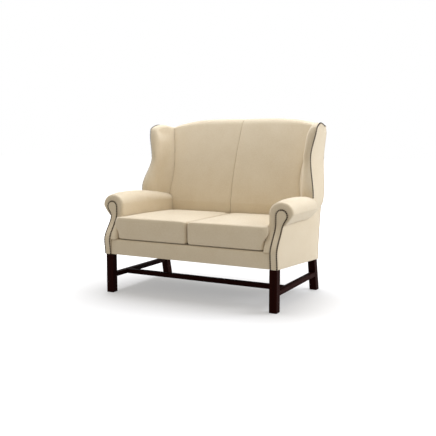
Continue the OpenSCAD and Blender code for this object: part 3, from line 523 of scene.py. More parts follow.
# Line where the pad meets the facing: up the strip, round the scroll and down the neck
def facingLine(j):
    angle, leave = rollAngle(j), -20
    turn = np.radians(angle)
    past = np.clip((leave - angle) / (size["rollTurn"] + leave), 0, 1)
    low = mix(headZ + headR * math.sin(math.radians(leave)), creaseZ, past)
    wall, scroll, r = j < 8, angle >= leave, headR + 0.5
    x = np.where(wall, facingIn - 0.5, np.where(scroll, headX + r * np.cos(turn), neckX(low) + 0.5))
    z = np.where(wall, mix(seatZ, headZ, j / 8), np.where(scroll, headZ + r * np.sin(turn), low))
    return x, z


# Hidden side of the pad: up the stump, over its top and down the outside
def armCore(j, y):
    angle = rollAngle(j)
    up, over = j <= 9, angle > 0
    left, right, top = legIn - 0.5, size["halfWidth"] + 0.5, stumpTop + 0.5
    across = mix(left, right, np.clip((rollAngle(9) - angle) / 150, 0, 1))
    down = mix(top, seamZ(y), np.clip(-angle / size["rollTurn"], 0, 1))
    x = np.where(up, left, np.where(over, across, right))
    z = np.where(up, mix(seatZ, top, j / 9), np.where(over, top, down))
    return x, z


# The section carried from behind the rim to the seat's rear edge, s from 0 to 1
def armRun(j, s):
    _, level = armSection(j, swellY)
    y = mix(frontY(level) + arm["rimDepth"], armRearY, s)
    x, z = armSection(j, y)
    return stack(x, y, z)


# Arm pad: quarter sines round the facing's edge join the carried section, with gathers at the scroll
def makeArm(side, tail):
    j = np.concatenate([np.linspace(0, 8, arm["wallCols"]), np.linspace(8, 24, arm["arcCols"])[1:]])[None, :]
    t = np.linspace(0, 1, arm["rimRows"])[:, None]
    s = np.linspace(0, 1, arm["runRows"])[1:, None]
    keyX, keyZ = facingLine(j)
    outX, outZ = armSection(j, arm["rimDepth"])
    share = np.sin(np.pi / 2 * t)
    depth = (arm["rimDepth"] * (1 - np.cos(np.pi / 2 * t)) ** 1.5 - arm["rimSwell"] * np.sin(np.pi * t)
        + 2 * (1 - t) ** 4)
    x, z = mix(keyX, outX, share), mix(keyZ, outZ, share)
    rim = stack(x, frontY(z) + depth, z)
    run = armRun(j, s) + (rim[-1:] - armRun(j, 0.0)) * (1 - ease(s / 0.12))[..., None]
    outer = np.concatenate([rim, run])
    rows = outer.shape[0]
    # gathers fan out from the nail line of the scroll and fade over the roll
    rest = (rows - len(t), 1)
    fade = np.concatenate([np.sin(np.pi * (t * 0.9 + 0.08)) ** 2, np.zeros(rest)])
    folds = 0.5 - 0.5 * np.cos(2 * np.pi * runLength(rim[0]) / arm["gatherPitch"])
    gathers = arm["gather"] * fade * folds * (j > 7)
    uneven = arm["uneven"] * ripple(outer, arm["ripple"], side) * np.concatenate([t ** 2, np.ones(rest)])
    normal = gridNormals(outer)
    outward = np.sign((normal * (outer - [size["rollMiddle"], 300, 500])).sum(2).mean())
    outer = outer + normal * outward * (uneven - gathers)[..., None]
    coreX, coreZ = armCore(j, 0.0)
    blend = ease((t - 0.1) / 0.55)
    x, z = mix(keyX, coreX, blend), mix(keyZ, coreZ, blend)
    ahead = np.maximum(0, frontY(z) + size["facingDepth"]) + 0.5
    front = stack(x, ahead + arm["coreDepth"] * t ** 3, z)
    y = run[..., 1]
    x, z = armCore(j, y)
    core = np.concatenate([front, stack(x, y, z)])
    # painted shade at the facing's edge, where the pad runs into the back and along the seam under the roll
    edge = np.concatenate([np.exp(-t * 14), np.zeros(rest)]) * 0.45
    rear = np.concatenate([0 * t, np.exp(-(1 - s) * 45)])
    tuck = np.clip(edge * (j > 6) + rear + np.exp(-(24 - j) * 5), 0, 1)
    addCover("armPad" + tail, "arm_pad_" + tail.lower(), outer, core, tuck, side)


for side, tail in sides:
    makeArm(side, tail)
print("arm pads made")


# Arm facings: the flat nailed fronts, padded a little between their two rows of nails
facing = {
    "stripRows": 210, "scrollRows": 90, "cols": 30, "crown": 2.6, "crownWidth": 9.0, "edgeDrop": 1.6,
    "edgeWidth": 3.2, "scallop": 0.35,
}


# Facing: rows up the strip and the scroll, each crowned by a smooth step from its edges
def makeFacing(side, tail):
    top = headZ + headR
    low = np.linspace(size["legHeight"], headZ, facing["stripRows"], endpoint=False)
    high = headZ + headR * np.sin(np.linspace(0, np.pi / 2, facing["scrollRows"]))
    z = np.concatenate([low, high])[:, None]
    across = (0.5 - 0.5 * np.cos(np.linspace(0, np.pi, facing["cols"])))[None, :]
    left = np.where(z < headZ, facingIn, headX - np.sqrt(np.maximum(0, headR ** 2 - (z - headZ) ** 2)))
    x = mix(left, neckX(np.minimum(z, top)), across)
    edge = np.minimum(np.minimum(x - left, neckX(np.minimum(z, top)) - x), top - z)
    crown = facing["crown"] * ease((edge - nailInset) / facing["crownWidth"])
    drop = facing["edgeDrop"] * (1 - ease(edge / facing["edgeWidth"]))
    scallop = facing["scallop"] * np.cos(2 * np.pi * z / size["nailPitch"])
    scallop = scallop * np.exp(-((edge - nailInset) / 3) ** 2)
    y = frontY(z) - crown + drop + scallop
    outer = stack(x, y, z)
    outer[..., 2] += 1.2 * (1 - ease((z - size["legHeight"]) / 2.5)) * (1 - ease(edge / 3))
    rear = np.where(z < size["railTop"], 0.2, np.maximum(0.2, frontY(z) + size["facingDepth"]))
    inner = stack(x, np.maximum(rear, y + 1.5), z)
    # painted shade along the facing's edges, by the nails
    tuck = 0.45 * np.exp(-np.maximum(0, edge) / 1.6)
    addCover("armFacing" + tail, "arm_facing_" + tail.lower(), outer, inner, tuck, side)


for side, tail in sides:
    makeFacing(side, tail)
print("arm facings made")


# Wings: t runs along the nail line from 0 over the arm to 1 at the back, counted in the frame's own steps
wing = {
    "rows": 150, "rollCols": 26, "turnCols": 30, "faceCols": 40, "evenSteps": 60,
    "steps": 21, "turnStep": 13, "creaseStep": 17, "waistShare": 0.62, "midShare": 0.67,
    "highFrom": 0.66, "highOver": 0.3, "straightFrom": 0.86, "straightOver": 0.15, "bend": 0.42,
    "swell": 13.0, "topSwell": 4.0, "turnDepth": 36.0, "topDepth": 18.0, "skin": 7.0,
    "uneven": 0.6, "ripple": 52.0,
    "valley": 3.5, "underRound": 70.0, "waist": 42.75, "flare": 27.0, "outLow": 614.5, "hump": 31.0,
    "width": 85.0, "waistLess": 31.0, "widthSteps": ((8.0, 880.0, 80.0), (-10.0, 985.0, 45.0)),
    "rearX": 562.56, "rearCover": 6.5, "rearIn": 27.0, "rearInFrom": 600.0, "rearInOver": 290.0,
    "rearTopFrom": 1000.0,
}
waistZ = mix(size["rollHeight"], size["wingCorner"], wing["waistShare"])
cornerY = size["wingFront"] + size["wingSweep"]
midY = size["wingFront"] + size["wingSweep"] * wing["midShare"]
humpY = cornerY + size["wingSweep"]
reachY = float(rearY(topAtWing)) - panelT - 0.5
turnShare = wing["turnStep"] / wing["steps"]


# Nail line up the wing's front: in to a waist and out to the corner, swept back as it rises
def frontEdge(z):
    low = size["rollHeight"] + size["rollRadius"]
    over = np.maximum(0, z - waistZ) / (size["wingCorner"] - waistZ)
    x = wing["outLow"] - wing["waist"] * ease((z - low) / (waistZ - low)) + wing["flare"] * ease(over)
    start = low + size["rollRadius"] * 0.2
    y = mix(size["wingFront"], midY, ease((z - start) / (waistZ - start))) + (cornerY - midY) * over ** 2
    return stack(x, y, z + 0 * x)


cornerX = float(frontEdge(np.array(size["wingCorner"]))[0])


# Nail line along the wing's top: a soft quarter round up to the hump, then an easy fall to the back
def topEdge(y):
    share = np.clip((y - cornerY) / (reachY - cornerY), 0, 1)
    climb = np.sin(np.pi / 2 * np.clip((y - cornerY) / (humpY - cornerY), 0, 1)) ** 0.8
    fall = 0.5 * ease((y - humpY) / (reachY - humpY) * 1.3)
    z = size["wingCorner"] + wing["hump"] * np.where(y < humpY, climb, 1 - fall)
    return stack(cornerX - (cornerX - wing["rearX"]) * share ** 1.6, y, z)


# Whole nail line: the front up to the turn's share of t, then the top
def wingEdge(t):
    low = size["rollHeight"] + size["rollRadius"] * 0.4
    front = frontEdge(mix(low, size["wingCorner"], np.minimum(1, t / turnShare)))
    top = topEdge(mix(cornerY, reachY, np.maximum(0, (t - turnShare) / (1 - turnShare)) ** 1.25))
    return np.where((t < turnShare)[..., None], front, top)


# Direction in which the padded edge swells: forward on the front, turning up over the top
def edgeWay(t):
    a = np.pi / 2 * ease((t - turnShare * 0.8) / (turnShare * 0.4))
    return stack(0 * a, -np.cos(a), np.sin(a))


# Crease between wing and inside back: its height eases out as a sine, then it runs back under the top
def wingCrease(t):
    step = t * wing["steps"]
    rise = np.sin(np.pi / 2 * np.minimum(1, step / wing["creaseStep"]))
    z = mix(size["rollHeight"] + 10, sideCrestZ, rise)
    s = np.clip((step - wing["creaseStep"]) / (wing["steps"] - wing["creaseStep"]), 0, 1)
    front = stack(creaseX(z) + 0.5, insideY(z) - 0.5, z)
    high = float(creaseX(sideCrestZ)) + 0.5
    rear = stack(mix(high, wing["rearX"] - size["cover"], s), mix(float(insideY(sideCrestZ)), reachY, s),
        sideCrestZ + 3 * s)
    return np.where((step <= wing["creaseStep"])[..., None], front, rear)


# Width of the padded edge by its height: less at the waist, then steps of so much from a height over a height
def edgeWidth(edge, crease):
    low = size["rollHeight"] + size["rollRadius"]
    z = edge[..., 2]
    wide = wing["width"] - wing["waistLess"] * ease((z - low) / (waistZ - low))
    for more, start, over in wing["widthSteps"]:
        wide = wide + more * ease((z - start) / over)
    return np.minimum((edge[..., 0] - crease[..., 0]) * 0.92, wide)


# Padded wing: q runs over a quarter ellipse from the nail line to the front, g over another that turns in
# and back, from 0 to 1, and on along a quadratic curve to the crease, from 1 to 2
def wingFace(t, q, g):
    edge, crease, way = wingEdge(t), wingCrease(t), edgeWay(t)
    width = edgeWidth(edge, crease)
    across = stack(-width, 0 * width, 0 * width)
    high = ease((t - turnShare * wing["highFrom"]) / wing["highOver"])[..., None]
    swell = way * mix(wing["swell"], wing["topSwell"], high)
    fall = np.clip(edge[..., 2:] - crease[..., 2:] - 2, 0, wing["topDepth"])
    behind = -way * mix(wing["turnDepth"], fall, high)
    q, g = q[..., None], g[..., None]
    lead = edge + across * 0.5 * (1 - np.cos(np.pi / 2 * q)) ** 0.75 + swell * np.sin(np.pi / 2 * q) ** 0.9
    a = np.pi / 2 * np.clip(g, 0, 1)
    turn = edge + across * (0.5 + 0.5 * np.sin(a)) + swell + (behind - swell) * (1 - np.cos(a))
    start = edge + across + behind
    slope = (behind - swell) / np.linalg.norm(behind - swell, axis=-1, keepdims=True)
    ahead = slope * np.linalg.norm(crease - start, axis=-1, keepdims=True)
    straight = ease((t - turnShare * wing["straightFrom"]) / wing["straightOver"])[..., None]
    bend = start + mix(ahead, crease - start, straight) * wing["bend"]
    face = np.where(q < 1, lead, np.where(g < 1, turn, arc3(start, bend, crease, np.clip(g - 1, 0, 1))))
    valley = wing["valley"] * np.exp(-(2 - g) * 7) * (g > 1) * ease((1 - t) / 0.2)[..., None]
    face[..., 1] += valley[..., 0]
    return face


# Wing pad: the face with its unevenness, and a hidden side along its normals
def makeWing(side, tail):
    t = np.linspace(0, 1, wing["rows"])[:, None]
    q = np.concatenate([np.linspace(0, 1, wing["rollCols"]), np.ones(wing["turnCols"] + wing["faceCols"])])
    g = np.concatenate([np.zeros(wing["rollCols"]), np.linspace(0, 1, wing["turnCols"] + 1)[1:],
        np.linspace(1, 2, wing["faceCols"] + 1)[1:]])
    t, q, g = np.broadcast_arrays(t, q, g)
    outer = wingFace(t, q, g)
    # the bend over the top is evened out between its fixed nail line and crease
    near = (ease((t - 0.4) / 0.1) * ease((0.84 - t) / 0.1))[1:-1, 1:-1, None] / 8
    for _ in range(wing["evenSteps"]):
        middle = outer[1:-1, 1:-1]
        around = outer[2:, 1:-1] + outer[:-2, 1:-1] + outer[1:-1, 2:] + outer[1:-1, :-2]
        outer[1:-1, 1:-1] = middle + near * (around - 4 * middle)
    calm = np.sin(np.pi * np.clip((q + g) / 3, 0, 1))
    outer[..., 0] += wing["uneven"] * calm * ripple(outer, wing["ripple"], side + 4)
    normal = gridNormals(outer)
    normal = normal * np.sign(-normal[20:60, 40:60, 0].mean())
    # painted shade along the nail line and in the crease with the back
    tuck = np.clip(0.45 * np.exp(-q * 13) + 0.35 * np.exp(-(2 - g) * 14), 0, 1)
    inner = outer - normal * wing["skin"]
    addCover("wingPad" + tail, "wing_pad_" + tail.lower(), outer, inner, tuck, side)


# Rear edge of the wing's outside: narrowing in from over the arm to the top of the back
def rearEdge(z):
    out = sideX + size["legWidth"] * 0.38
    narrow = out - wing["rearIn"]
    x = mix(out, narrow, ease((z - wing["rearInFrom"]) / wing["rearInOver"]))
    high = ease((z - wing["rearTopFrom"]) / (topAtWing - wing["rearTopFrom"]))
    return stack(x - (narrow - wing["rearX"]) * high, rearY(z) - panelT - 0.5, z)


# Quarter round, from 1 at the seam to 0 at its height, by which the cover turns in under the wing
def underTurn(height):
    return 1 - np.sqrt(1 - (1 - np.clip(height / wing["underRound"], 0, 1)) ** 2)


# Outside of the wing: a ruled skin from the nail line, u 0, to the rear edge, u 1, that turns in to the seam
# under the roll at v 0
def wingSide(u, v, deep):
    front, rear = wingEdge(v * turnShare), rearEdge(mix(rearSeamZ, topAtWing, v))
    foot, heel = wingEdge(0 * v), rearEdge(rearSeamZ + 0 * v)
    y, line = (mix(front[..., i], rear[..., i], u) for i in (1, 2))
    footY, footLine = (mix(foot[..., i], heel[..., i], u) for i in (1, 2))
    over = v ** 6 * (topEdge(np.clip(y, cornerY, reachY))[..., 2] - mix(size["wingCorner"], topAtWing, u))
    low = mix(foot[..., 2], seamZ(footY) + 0.3, ease((footY - size["wingFront"] + 20) / 70))
    z = line + over - (footLine - low) * (1 - v) ** 2 - 0.5 * v ** 4
    wide = mix(front[..., 0], rear[..., 0], u ** 1.6)
    x = wide - (wide - sideX - 0.8) * underTurn(z - low) * ease(u / 0.2) - deep - 0.2
    return stack(x, y + 0.5 * (1 - u) * (1 - v ** 8), z)


wingSkin = {
    "rows": 120, "cols": 90, "wide": 280.0, "high": 460.0, "crown": 1.6, "uneven": 0.5, "edgeDrop": 0.8,
}


# Outside wing: the ruled skin with a sine crown and its edges drawn in
def makeWingSide(side, tail):
    v, u = np.linspace(0, 1, wingSkin["rows"]), np.linspace(0, 1, wingSkin["cols"]) ** 1.2
    v, u = np.meshgrid(v, u, indexing="ij")
    outer = wingSide(u, v, 0)
    calm = np.sin(np.pi * u) * np.sin(np.pi * v)
    outer[..., 0] += calm * (wingSkin["crown"] + wingSkin["uneven"] * ripple(outer, 60.0, side + 7))
    edge = np.minimum(np.minimum(u, 1 - u) * wingSkin["wide"], (1 - v) * wingSkin["high"])
    outer[..., 0] -= wingSkin["edgeDrop"] * np.exp(-edge / 3)
    # painted shade along the panel's edges
    tuck, inner = 0.4 * np.exp(-edge / 2.2), wingSide(u, v, panelT)
    addCover("outsideWing" + tail, "outside_wing_" + tail.lower(), outer, inner, tuck, side)


for side, tail in sides:
    makeWing(side, tail)
for side, tail in sides:
    makeWingSide(side, tail)
print("wings made")


# Inside back: two padded halves that meet at the sewn middle seam and roll over the top rail. k runs up the
# face from 0 to 1, forward over the top to 2 and down the rear to 3
back = {
    "cols": 96, "faceRows": 130, "topRows": 50, "crown": 5.0, "seamDepth": 2.4, "seamWidth": 2.6,
    "seamX": 0.25, "creaseDepth": 3.4, "creaseWidth": 12.0, "uneven": 0.8, "railDrop": 28.4,
    "postGap": 3.0, "rearGap": 3.5,
}
crestY = mix(float(insideY(size["backTop"])), float(rearY(size["backTop"] - arch["crestDrop"])), 0.55)


# Depth and height of the back: the leaning face, then two quadratic curves that meet at the top
def backLine(x, k):
    low, top = crestZ(x), topZ(x)
    front, rear = insideY(low), rearY(low)
    rise = mix(seatZ, low, np.minimum(k, 1))
    a, b = np.clip(k - 1, 0, 1), np.clip(k - 2, 0, 1)
    slope = lean["inside"] + 2 * lean["insideBend"] * (low - lean["foot"])
    ahead, behind = arc3(front, front + slope * (top - low), crestY, a), arc3(crestY, rear, rear, b)
    y = np.where(k <= 1, insideY(rise), np.where(k <= 2, ahead, behind))
    z = np.where(k <= 1, rise, np.where(k <= 2, arc3(low, top, top, a), arc3(top, top, low, b)))
    return y, z


# Hidden side of the back: up before the posts, straight over the top rail and down behind it
def backHide(x, k):
    low = crestZ(x)
    roof = np.minimum(topZ(x) - back["railDrop"], low - 1)
    z = mix(seatZ, roof, np.minimum(k, 1))
    over = mix(postY(roof) - back["postGap"], rearY(roof) - back["rearGap"], np.clip((k - 1) / 1.5, 0, 1))
    last = k >= 2.98
    y = np.where(k <= 1, postY(z) - back["postGap"], np.where(last, rearY(low) - back["rearGap"], over))
    return stack(x, y, np.where(k <= 1, z, np.where(last, low, roof)))


# Half width at s from 0 at the seam to 1 at the wing, narrowing to the outside back's over the top
def backX(s, k):
    level = mix(seatZ, sideCrestZ, np.minimum(k, 1))
    y, _ = backLine(archHalf + 0 * k, k)
    front = float(insideY(sideCrestZ))
    over = mix(float(creaseX(sideCrestZ)), wing["rearX"] - wing["rearCover"], (y - front) / (reachY - front))
    return mix(back["seamX"], np.where(k <= 1, creaseX(level), over), s)


# Half of the inside back: a sine crown along the normals, less the hollows at the seam and the wing
def makeBack(side, tail):
    even = np.linspace(0, 1, back["cols"])
    s = mix(0.5 - 0.5 * np.cos(np.pi * even), even, 0.35)
    k = np.concatenate([np.linspace(0, 1, back["faceRows"]), np.linspace(1, 3, back["topRows"])[1:]])[:, None]
    k, s = np.broadcast_arrays(k, s)
    x = backX(s, k)
    y, z = backLine(x, k)
    outer = stack(x, y, z)
    normal = gridNormals(outer)
    normal = normal * np.sign(-normal[10:60, :, 1].mean())
    fromSeam, fromWing = x - back["seamX"], backX(1 + 0 * s, k) - x
    over = np.clip(3 - k, 0, 1)
    puff = back["crown"] * np.sin(np.pi * s) ** 0.5 * ease(k / 0.3) * over
    seam = back["seamDepth"] * np.exp(-fromSeam / back["seamWidth"])
    crease = back["creaseDepth"] * np.exp(-fromWing / back["creaseWidth"]) * over
    uneven = back["uneven"] * ripple(outer, 70.0, side + 9) * np.sin(np.pi * s) * over
    outer = outer + normal * (puff - seam * over - crease + uneven)[..., None]
    outer[..., 0] = np.maximum(outer[..., 0], 0.2)
    # painted shade: darker in the seam, at the wing and along the rear seam, and towards the seat behind the
    # cushions
    tuck = 0.7 * np.exp(-fromSeam / 1.2) + 0.35 * np.exp(-fromWing / 6) + 0.4 * np.exp(-(3 - k) * 18)
    tuck = np.clip(tuck + 0.3 * np.exp(-np.maximum(0, z - 470) / 50), 0, 1)
    addCover("backPad" + tail, "back_pad_" + tail.lower(), outer, backHide(x, k), tuck, side)


for side, tail in sides:
    makeBack(side, tail)
print("inside back made")


# Outside covers: one taut panel down each arm and one across the back
panels = {
    "crown": 1.8, "edgeDrop": 1.4, "uneven": 0.5, "armLong": 640.0, "armHigh": 240.0,
    "backHalf": 570.0, "backHigh": 840.0, "narrowOver": 34.0,
}


# Outside arm: a grid from the arm's front to the outside back and from the rail to the seam, crowned
def makeOutsideArm(side, tail):
    v, u = np.meshgrid(np.linspace(0, 1, 90), np.linspace(0, 1, 120), indexing="ij")
    front, rear = size["facingDepth"] + 0.5, panelT + 0.5
    y = mix(15.0, panels["armLong"], u)
    for _ in range(3):
        low = mix(size["legHeight"], size["rearLegHeight"], y / size["depth"])
        z = mix(low, seamZ(y) - 1, v)
        y = mix(np.maximum(0.5, frontY(z) + front), rearY(z) - rear, u)
    outer = stack(sideX, y, z)
    edge = np.minimum(np.minimum(u, 1 - u) * panels["armLong"], np.minimum(v, 1 - v) * panels["armHigh"])
    outer[..., 0] += (panels["crown"] * ease(edge / 60) - panels["edgeDrop"] * np.exp(-edge / 3)
        + panels["uneven"] * ripple(outer, 65.0, side + 11) * ease(edge / 40))
    # painted shade along the panel's edges
    tuck, inner = 0.4 * np.exp(-edge / 2.2), stack(size["halfWidth"] + 0.3, y, z)
    addCover("outsideArm" + tail, "outside_arm_" + tail.lower(), outer, inner, tuck, side)


# Outside back: a grid up to the rear seam, as wide as the arms below and the wings' rear edges above
def makeOutsideBack():
    v, u = np.meshgrid(np.linspace(0, 1, 120), np.linspace(-1, 1, 180), indexing="ij")
    high = float(rearEdge(np.array(sideCrestZ))[0])
    z = mix(size["rearLegHeight"], crestZ(u * high) - 0.5, v)
    wide, narrow = rearEdge(z)[..., 0], sideX + 0.6
    wide = np.where(z < rearSeamZ, narrow, wide - (wide - narrow) * underTurn(z - rearSeamZ))
    high = ease((z - wing["rearTopFrom"]) / panels["narrowOver"])
    wide = np.minimum(wide, mix(wide, wing["rearX"] - wing["rearCover"], high))
    x = u * wide
    edge = np.minimum((1 - np.abs(u)) * panels["backHalf"], np.minimum(v, 1 - v) * panels["backHigh"])
    y = (rearY(z) + panels["crown"] * ease(edge / 80) - panels["edgeDrop"] * np.exp(-edge / 3)
        + panels["uneven"] * ripple(stack(x, 0 * x, z), 90.0, 3.0) * ease(edge / 60))
    outer, inner = stack(x, y, z), stack(x, rearY(z) - panelT, z)
    # painted shade along the panel's edges
    addCover("outsideBack", "outside_back", outer, inner, 0.4 * np.exp(-edge / 2.4), 1)


for side, tail in sides:
    makeOutsideArm(side, tail)
makeOutsideBack()
print("outside covers made")


# Front border: cloth up the front rail and rolled over a soft top edge
border = {
    "cols": 260, "crown": 1.8, "roll": 9.0, "uneven": 0.45, "face": -3.0, "railFace": 5.0, "deckEdge": 35.0,
    "railLid": 327.2,
}


# Profile in depth and height: turned under the rail, up the front, a quarter round and back to the deck
def borderProfile():
    low, top, face, r = size["legHeight"], size["deckTop"], border["face"], border["roll"]
    under = np.stack([np.linspace(border["railFace"], face + 2, 6), np.full(6, low)], -1)
    foot = np.radians(np.linspace(270, 180, 8))
    toe = np.stack([face + 2 + 2 * np.cos(foot), low + 2 + 2 * np.sin(foot)], -1)[1:]
    rise = np.linspace(0, 1, 60)[1:]
    front = np.stack([face - border["crown"] * np.sin(np.pi * rise) ** 0.7, mix(low + 2, top - r, rise)], -1)
    bend = np.radians(np.linspace(180, 90, 16))[1:]
    curl = np.stack([face + r + r * np.cos(bend), top - r + r * np.sin(bend)], -1)
    lid = np.stack([np.linspace(face + r, border["deckEdge"], 12)[1:], np.full(11, top)], -1)
    return np.concatenate([under, toe, front, curl, lid])


# Border: the profile carried across between the two facings
def makeBorder():
    line = borderProfile()
    reach = facingIn - 0.5
    x = np.linspace(-reach, reach, border["cols"])
    y, z = line[:, :1], line[:, 1:]
    outer = stack(x, y, z)
    lid, rail = border["railLid"], border["railFace"]
    depth = np.where(z > lid, np.clip(y, rail, border["deckEdge"]), rail)
    inside = stack(x, depth, np.clip(z, size["legHeight"] + 0.2, lid))
    edge = reach - np.abs(outer[..., 0])
    shown = (line[:, 0] < 4)[:, None]
    outer[..., 1] += (border["uneven"] * ripple(outer, 60.0, 5.0) + 1.5 * np.exp(-edge / 3)) * shown
    # painted shade at the ends by the facings and along the foot
    tuck = np.clip(np.exp(-edge / 2.2) + np.exp(-(z - size["legHeight"]) / 1.2), 0, 1)
    addCover("frontBorder", "front_border", outer, inside, tuck, 1)


makeBorder()
print("front border made")


# Deck, bottom cloth and webbing
deck = {
    "cols": 110, "rows": 64, "sag": 3.0, "sagWidth": 14.0, "half": 538.4, "long": 588.0, "front": 35.1,
    "under": 329.2, "gap": 0.6, "uneven": 0.25, "ripple": 80.0,
}


# Deck: a flat pad whose edges fall by an exponential, with a slight ripple
def makeDeck():
    v, u = np.meshgrid(np.linspace(0, 1, deck["rows"]), np.linspace(-1, 1, deck["cols"]), indexing="ij")
    x, y = u * deck["half"], mix(deck["front"], float(postY(size["railTop"])) - deck["gap"], v)
    edge = np.minimum((1 - np.abs(u)) * deck["half"], np.minimum(v, 1 - v) * deck["long"])
    uneven = deck["uneven"] * (1 + ripple(stack(x, y, 0), deck["ripple"], 6.0))
    outer = stack(x, y, size["deckTop"] - deck["sag"] * np.exp(-edge / deck["sagWidth"]) - uneven)
    piece = skinPiece("seatDeck", outer, stack(x, y, deck["under"]), 0, 1)
    dress(piece, calico, ["seat_deck"])


bottom = {
    "cols": 150, "rows": 90, "sag": 3.5, "thick": 0.0012, "half": 562.0, "front": 5.0, "rear": 655.6,
    "cutX": 538.5, "cutFront": 38.5, "cutRear": 617.2, "bay": 545.0, "lift": 2.5,
}


# Bottom cloth: it slopes with the rails and sags between them by crossed sines, and its corners are cut out
# for the legs
def makeBottomCloth():
    cutX, cutFront, cutRear = bottom["cutX"], bottom["cutFront"], bottom["cutRear"]
    x = np.sort(np.append(np.linspace(-bottom["half"], bottom["half"], bottom["cols"]), [-cutX, cutX]))
    y = np.sort(np.append(np.linspace(bottom["front"], bottom["rear"], bottom["rows"]), [cutFront, cutRear]))
    y, x = np.meshgrid(y, x, indexing="ij")
    share = y / size["depth"]
    bay = np.sin(np.pi * np.clip(np.abs(x) / bottom["bay"], 0, 1)) * np.sin(np.pi * share)
    z = mix(size["legHeight"], size["rearLegHeight"], share) + bottom["lift"] - bottom["sag"] * bay
    points = stack(x, y, z)
    faces = gridFaces(*x.shape)
    middle = points.reshape(-1, 3)[faces].mean(1)
    corner = (np.abs(middle[:, 0]) > cutX) & ((middle[:, 1] < cutFront) | (middle[:, 1] > cutRear))
    used, order = np.unique(faces[~corner], return_inverse=True)
    verts, faces = place(points).reshape(-1, 3)[used], order.reshape(-1, 4)
    piece = addPiece("bottomCloth", verts, faces)
    solid = piece.modifiers.new("thickness", "SOLIDIFY")
    solid.thickness = bottom["thick"]
    solid.offset = 0
    dress(piece, blackCloth, ["dust_cover"])


webbing = {
    "width": 49.4, "thick": 1.7, "weaveWave": 0.8, "front": 5.0, "rear": 655.6,
    "longZ": 326.0, "crossZ": 328.0, "firstCross": 98.4, "lastCross": 526.9,
    "crossHalf": 538.0, "backHalf": 560.0, "crossWide": 34.0, "backGap": 1.3,
}


# Straps: flat ribbons carried along straight lines, waved up and down where they cross
def strapSet(name, node, lines, steps=70):
    verts, faces, start = [], [], 0
    for origin, along, across, up, wave in lines:
        t = np.linspace(0, 1, steps)[:, None, None]
        w = np.linspace(-0.5, 0.5, 7)[None, :, None]
        mid = np.array(origin) + np.array(along) * t + np.array(across) * w
        mid = mid + np.array(up) * wave(t)
        soft = (1 - 0.35 * (2 * np.abs(w)) ** 6) * webbing["thick"] / 2
        upper, lower = mid + np.array(up) * soft, mid - np.array(up) * soft
        v, f = shell(place(upper), place(lower))
        verts.append(v)
        faces.append(f + start)
        start += len(v)
    piece = addPiece(name, np.concatenate(verts), np.concatenate(faces), sharp=40)
    dress(piece, jute, [node])


# Wave of a long strap over and under the cross straps: one bell curve at each of them
def overAndUnder(sign, crossings):
    def wave(t):
        y = mix(webbing["front"], webbing["rear"], t)
        bells = (np.exp(-((y - at) / webbing["crossWide"]) ** 2) for at in crossings)
        return webbing["weaveWave"] * sign * sum((-1) ** n * bell for n, bell in enumerate(bells))
    return wave


# Seat straps both ways and back straps across, evenly set
def makeWebbing():
    w, reach, wide = webbing["width"], webbing["rear"] - webbing["front"], webbing["crossHalf"]
    span = 2 * legIn - w * 2
    crossY = [mix(webbing["firstCross"], webbing["lastCross"], i / 3) + w / 2 for i in range(4)]
    long = []
    for i in range(8):
        start = (-span / 2 + span * i / 7, webbing["front"], webbing["longZ"])
        long.append((start, (0, reach, 0), (w, 0, 0), (0, 0, 1), overAndUnder(1 if i % 2 else -1, crossY)))
    strapSet("seatWebbingLong", "seat_webbing_long", long)
    cross = []
    for n, y in enumerate(crossY):
        wave = lambda t, n=n: -webbing["weaveWave"] * 0.4 * np.cos(
            np.pi * 7 * mix(-wide / span, wide / span, t) + np.pi * (0.5 + n))
        cross.append(((-wide, y, webbing["crossZ"]), (2 * wide, 0, 0), (0, w, 0), (0, 0, 1), wave))
    strapSet("seatWebbingCross", "seat_webbing_cross", cross, 150)
    low, high = (corner[2] * 1000 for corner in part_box("back_webbing"))
    straps = []
    for i in range(5):
        z = mix(low, high - w, i / 4) + w / 2
        slope = float(rearY(z + w / 2) - rearY(z - w / 2))
        unit = math.hypot(slope, w)
        start = (-webbing["backHalf"], float(postY(z)) - webbing["backGap"], z)
        along, away = (2 * webbing["backHalf"], 0, 0), (0, -w / unit, slope / unit)
        straps.append((start, along, (0, slope, w), away, lambda t: 0 * t))
    strapSet("backWebbing", "back_webbing", straps, 20)


makeDeck()
makeBottomCloth()
makeWebbing()
print("deck, bottom cloth and webbing made")


# Nails: one low dome each, set on the cloth along the facings and the wings
nail = {
    "width": 9.6, "height": 3.3, "around": 10, "rings": 4, "lift": 0.3, "wingLift": 0.6, "tilt": 0.75,
    "askew": (0.31, 0.17, 0.93), "lineSteps": 61, "wingSteps": 400, "neckTurn": 36,
}


# Dome: rings that shrink as a cosine while they rise as a sine, closed by a flat foot
def domeShape():
    a = 2 * np.pi * np.arange(nail["around"]) / nail["around"]
    lift = np.pi / 2 * np.arange(nail["rings"]) / nail["rings"]
    r = nail["width"] / 2 * np.cos(lift)[:, None]
    rings = stack(r * np.cos(a), r * np.sin(a), nail["height"] * np.sin(lift)[:, None])
    verts = np.concatenate([rings.reshape(-1, 3), [[0, 0, nail["height"]], [0, 0, 0]]])
    n, here = nail["around"], np.arange(nail["around"])
    after = (here + 1) % n
    quads = [np.stack([k * n + here, k * n + after, (k + 1) * n + after, (k + 1) * n + here], -1)
        for k in range(nail["rings"] - 1)]
    last = (nail["rings"] - 1) * n
    top = np.stack([last + here, last + after, np.full(n, len(verts) - 2)], -1)
    foot = np.stack([after, here, np.full(n, len(verts) - 1)], -1)
    return verts, np.concatenate(quads), np.concatenate([top, foot])


